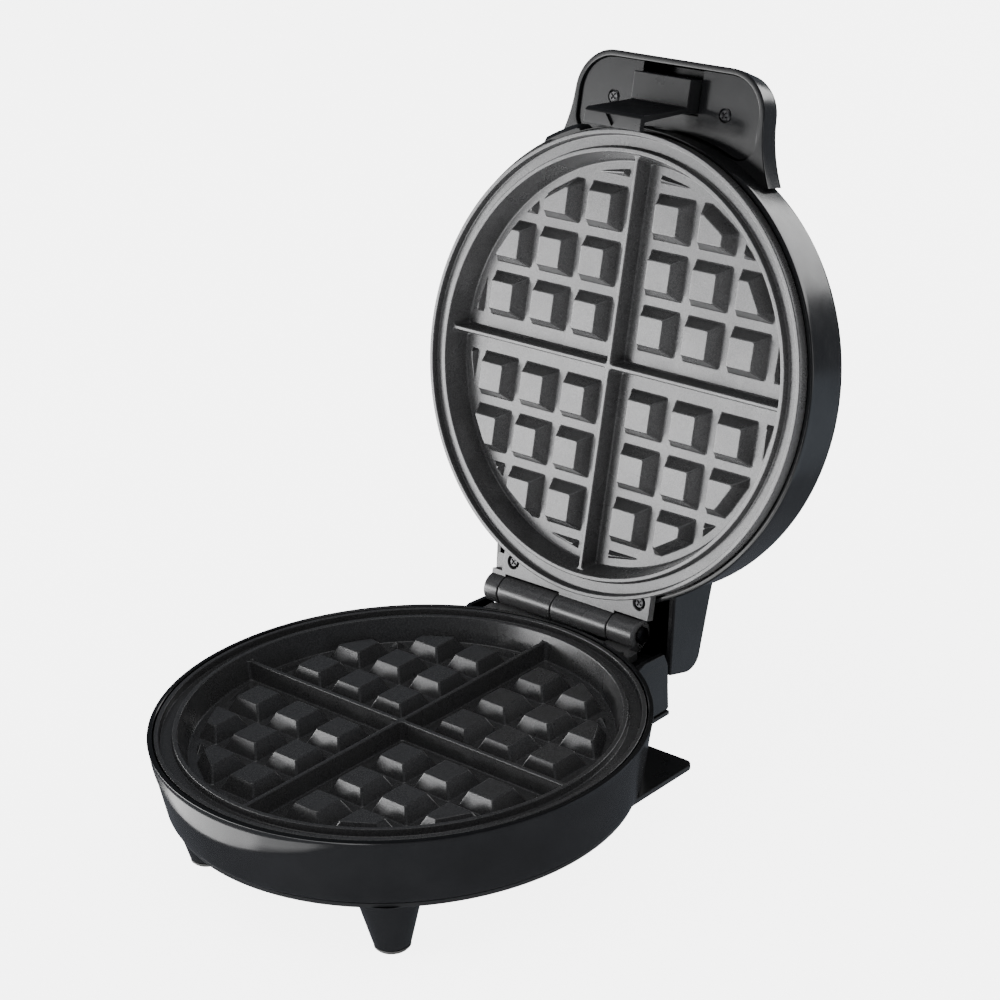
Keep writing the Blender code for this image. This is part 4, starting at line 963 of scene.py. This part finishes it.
def build_latch():
    """Latch block, sloping arm and turned-in hook with its triangular notch."""
    latch = object_from(prism(list(LATCH_SECTION), -LATCH_HALF, LATCH_HALF, "X", 0.0004, 3))
    notch = prism(list(LATCH_NOTCH), -0.0212, -0.0186)
    latch.data = boolean(latch, object_from(notch), "DIFFERENCE")
    settle("latch_moulding", taken(latch), TO_LID, "latch", HOUSING, "satin", 32, ("latch",))


# ---------------------------------------------------------------- carried-over nodes
def dress_cad():
    """Give every CAD node that still shows the detailed material of its slot."""
    for entry in frame["record"]["subparts"]:
        node = frame["nodes"][entry["node"]]
        material = MATERIALS[entry["material_slot"]]
        if entry["node"] == "handle_cover":
            material = MATERIALS[HOUSING]
        node.data.materials.clear()
        node.data.materials.append(material)


# ---------------------------------------------------------------- stage, light, camera
FLOOR_REACH = 6.0
WORLD_STRENGTH = 0.6
REFLECTED_STRENGTH = 0.22             # what glossy surfaces see of the surroundings
PANEL_DISTANCE = 2.2
CAMERA_AT = (0.6586, -0.6497, 0.4826)  # in plan coordinates
CAMERA_LENS = 92.94
CAMERA_AZIMUTH = math.radians(42.66)
CAMERA_ELEVATION = math.radians(23.11)
CAMERA_ROLL = math.radians(2.66)


def floor_material():
    n = Nodes("pale_floor")
    n.link(n.ramp(n.noise(3.0, 3.0), [(0.3, (0.84, 0.84, 0.84)), (0.7, (0.88, 0.88, 0.88))]), "Base Color")
    n.set(Roughness=0.9, Emission_Color=(1.0, 1.0, 1.0, 1.0), Emission_Strength=5.0)
    return n.material


def build_stage():
    """Pale floor, kept out of the reflections so that the glossy shell stays dark."""
    mesh = bpy.data.meshes.new("floor")
    corners = [(x, y, 0.0) for x, y in oblong(FLOOR_REACH, -FLOOR_REACH, FLOOR_REACH)]
    mesh.from_pydata(corners, [], [(0, 1, 2, 3)])
    mesh.materials.append(floor_material())
    floor = bpy.data.objects.new("floor", mesh)
    bpy.context.scene.collection.objects.link(floor)
    floor.visible_glossy = False
    floor.visible_shadow = False


def build_world():
    world = bpy.data.worlds.new("studio")
    bpy.context.scene.world = world
    world.use_nodes = True
    tree = world.node_tree
    background = tree.nodes["Background"]
    background.inputs["Color"].default_value = (1.0, 1.0, 1.0, 1.0)
    background.inputs["Strength"].default_value = WORLD_STRENGTH
    dark = tree.nodes.new("ShaderNodeBackground")
    dark.inputs["Color"].default_value = (0.50, 0.54, 0.62, 1.0)
    dark.inputs["Strength"].default_value = REFLECTED_STRENGTH
    path = tree.nodes.new("ShaderNodeLightPath")
    mix = tree.nodes.new("ShaderNodeMixShader")
    tree.links.new(path.outputs["Is Glossy Ray"], mix.inputs["Fac"])
    tree.links.new(background.outputs["Background"], mix.inputs[1])
    tree.links.new(dark.outputs["Background"], mix.inputs[2])
    tree.links.new(mix.outputs["Shader"], tree.nodes["World Output"].inputs["Surface"])


def panel(name, azimuths, elevations, radiance, colour=(1.0, 1.0, 1.0)):
    """Soft rectangular light over ranges of azimuth (degrees from the front to the right) and height."""
    a = math.radians(sum(azimuths) / 2)
    e = math.radians(sum(elevations) / 2)
    out = Vector((math.sin(a) * math.cos(e), -math.cos(a) * math.cos(e), math.sin(e)))
    light = bpy.data.lights.new(name, "AREA")
    light.shape = "RECTANGLE"
    light.size = 2 * PANEL_DISTANCE * math.tan(math.radians(azimuths[1] - azimuths[0]) / 2)
    light.size_y = 2 * PANEL_DISTANCE * math.tan(math.radians(elevations[1] - elevations[0]) / 2)
    light.energy = radiance * math.pi * light.size * light.size_y
    light.color = colour
    obj = bpy.data.objects.new(name, light)
    obj.location = Vector((0.0, 0.0, 0.12)) + out * PANEL_DISTANCE
    obj.rotation_euler = out.to_track_quat("Z", "Y").to_euler()
    bpy.context.scene.collection.objects.link(obj)
    obj.visible_camera = False


def build_lights():
    panel("key_high", (-88, -22), (8.3, 15), 4.5)
    panel("key_middle", (-88, -22), (3, 8.3), 17.0)
    panel("key_low", (-88, -22), (-25, 3), 11.0)
    panel("chin_right", (-22, 28), (-20, -6), 7.0)
    panel("chin_left", (-114, -88), (-20, -4), 6.0)
    panel("back_strip", (146, 190), (4, 26), 4.5)
    panel("back_fade", (132, 150), (-11, 4), 2.0)
    panel("right_low", (112, 160), (-38, -12), 0.5, (0.75, 0.86, 1.0))
    panel("top_soft", (-20, 60), (60, 88), 1.5)


def build_camera():
    data = bpy.data.cameras.new("camera")
    data.sensor_width = 36.0
    data.lens = CAMERA_LENS
    data.clip_end = 50.0
    camera = bpy.data.objects.new("camera", data)
    bpy.context.scene.collection.objects.link(camera)
    camera.location = TO_BASE @ Vector(CAMERA_AT)
    side, level = math.sin(CAMERA_AZIMUTH), math.cos(CAMERA_ELEVATION)
    ahead = math.cos(CAMERA_AZIMUTH)
    back = Vector((side * level, -ahead * level, math.sin(CAMERA_ELEVATION)))
    right = Vector((ahead, side, 0.0))
    down = (-back).cross(right)
    cos, sin = math.cos(CAMERA_ROLL), math.sin(CAMERA_ROLL)
    right, down = right * cos + down * sin, down * cos - right * sin
    camera.rotation_euler = Matrix((right, -down, back)).transposed().to_euler()
    bpy.context.scene.camera = camera


build_plates()
build_base_wall()
build_rear_block()
build_cover()
build_lid_shell()
build_hood()
build_collar()
build_rear_box()
build_latch()
dress_cad()
build_stage()
build_world()
build_lights()
build_camera()
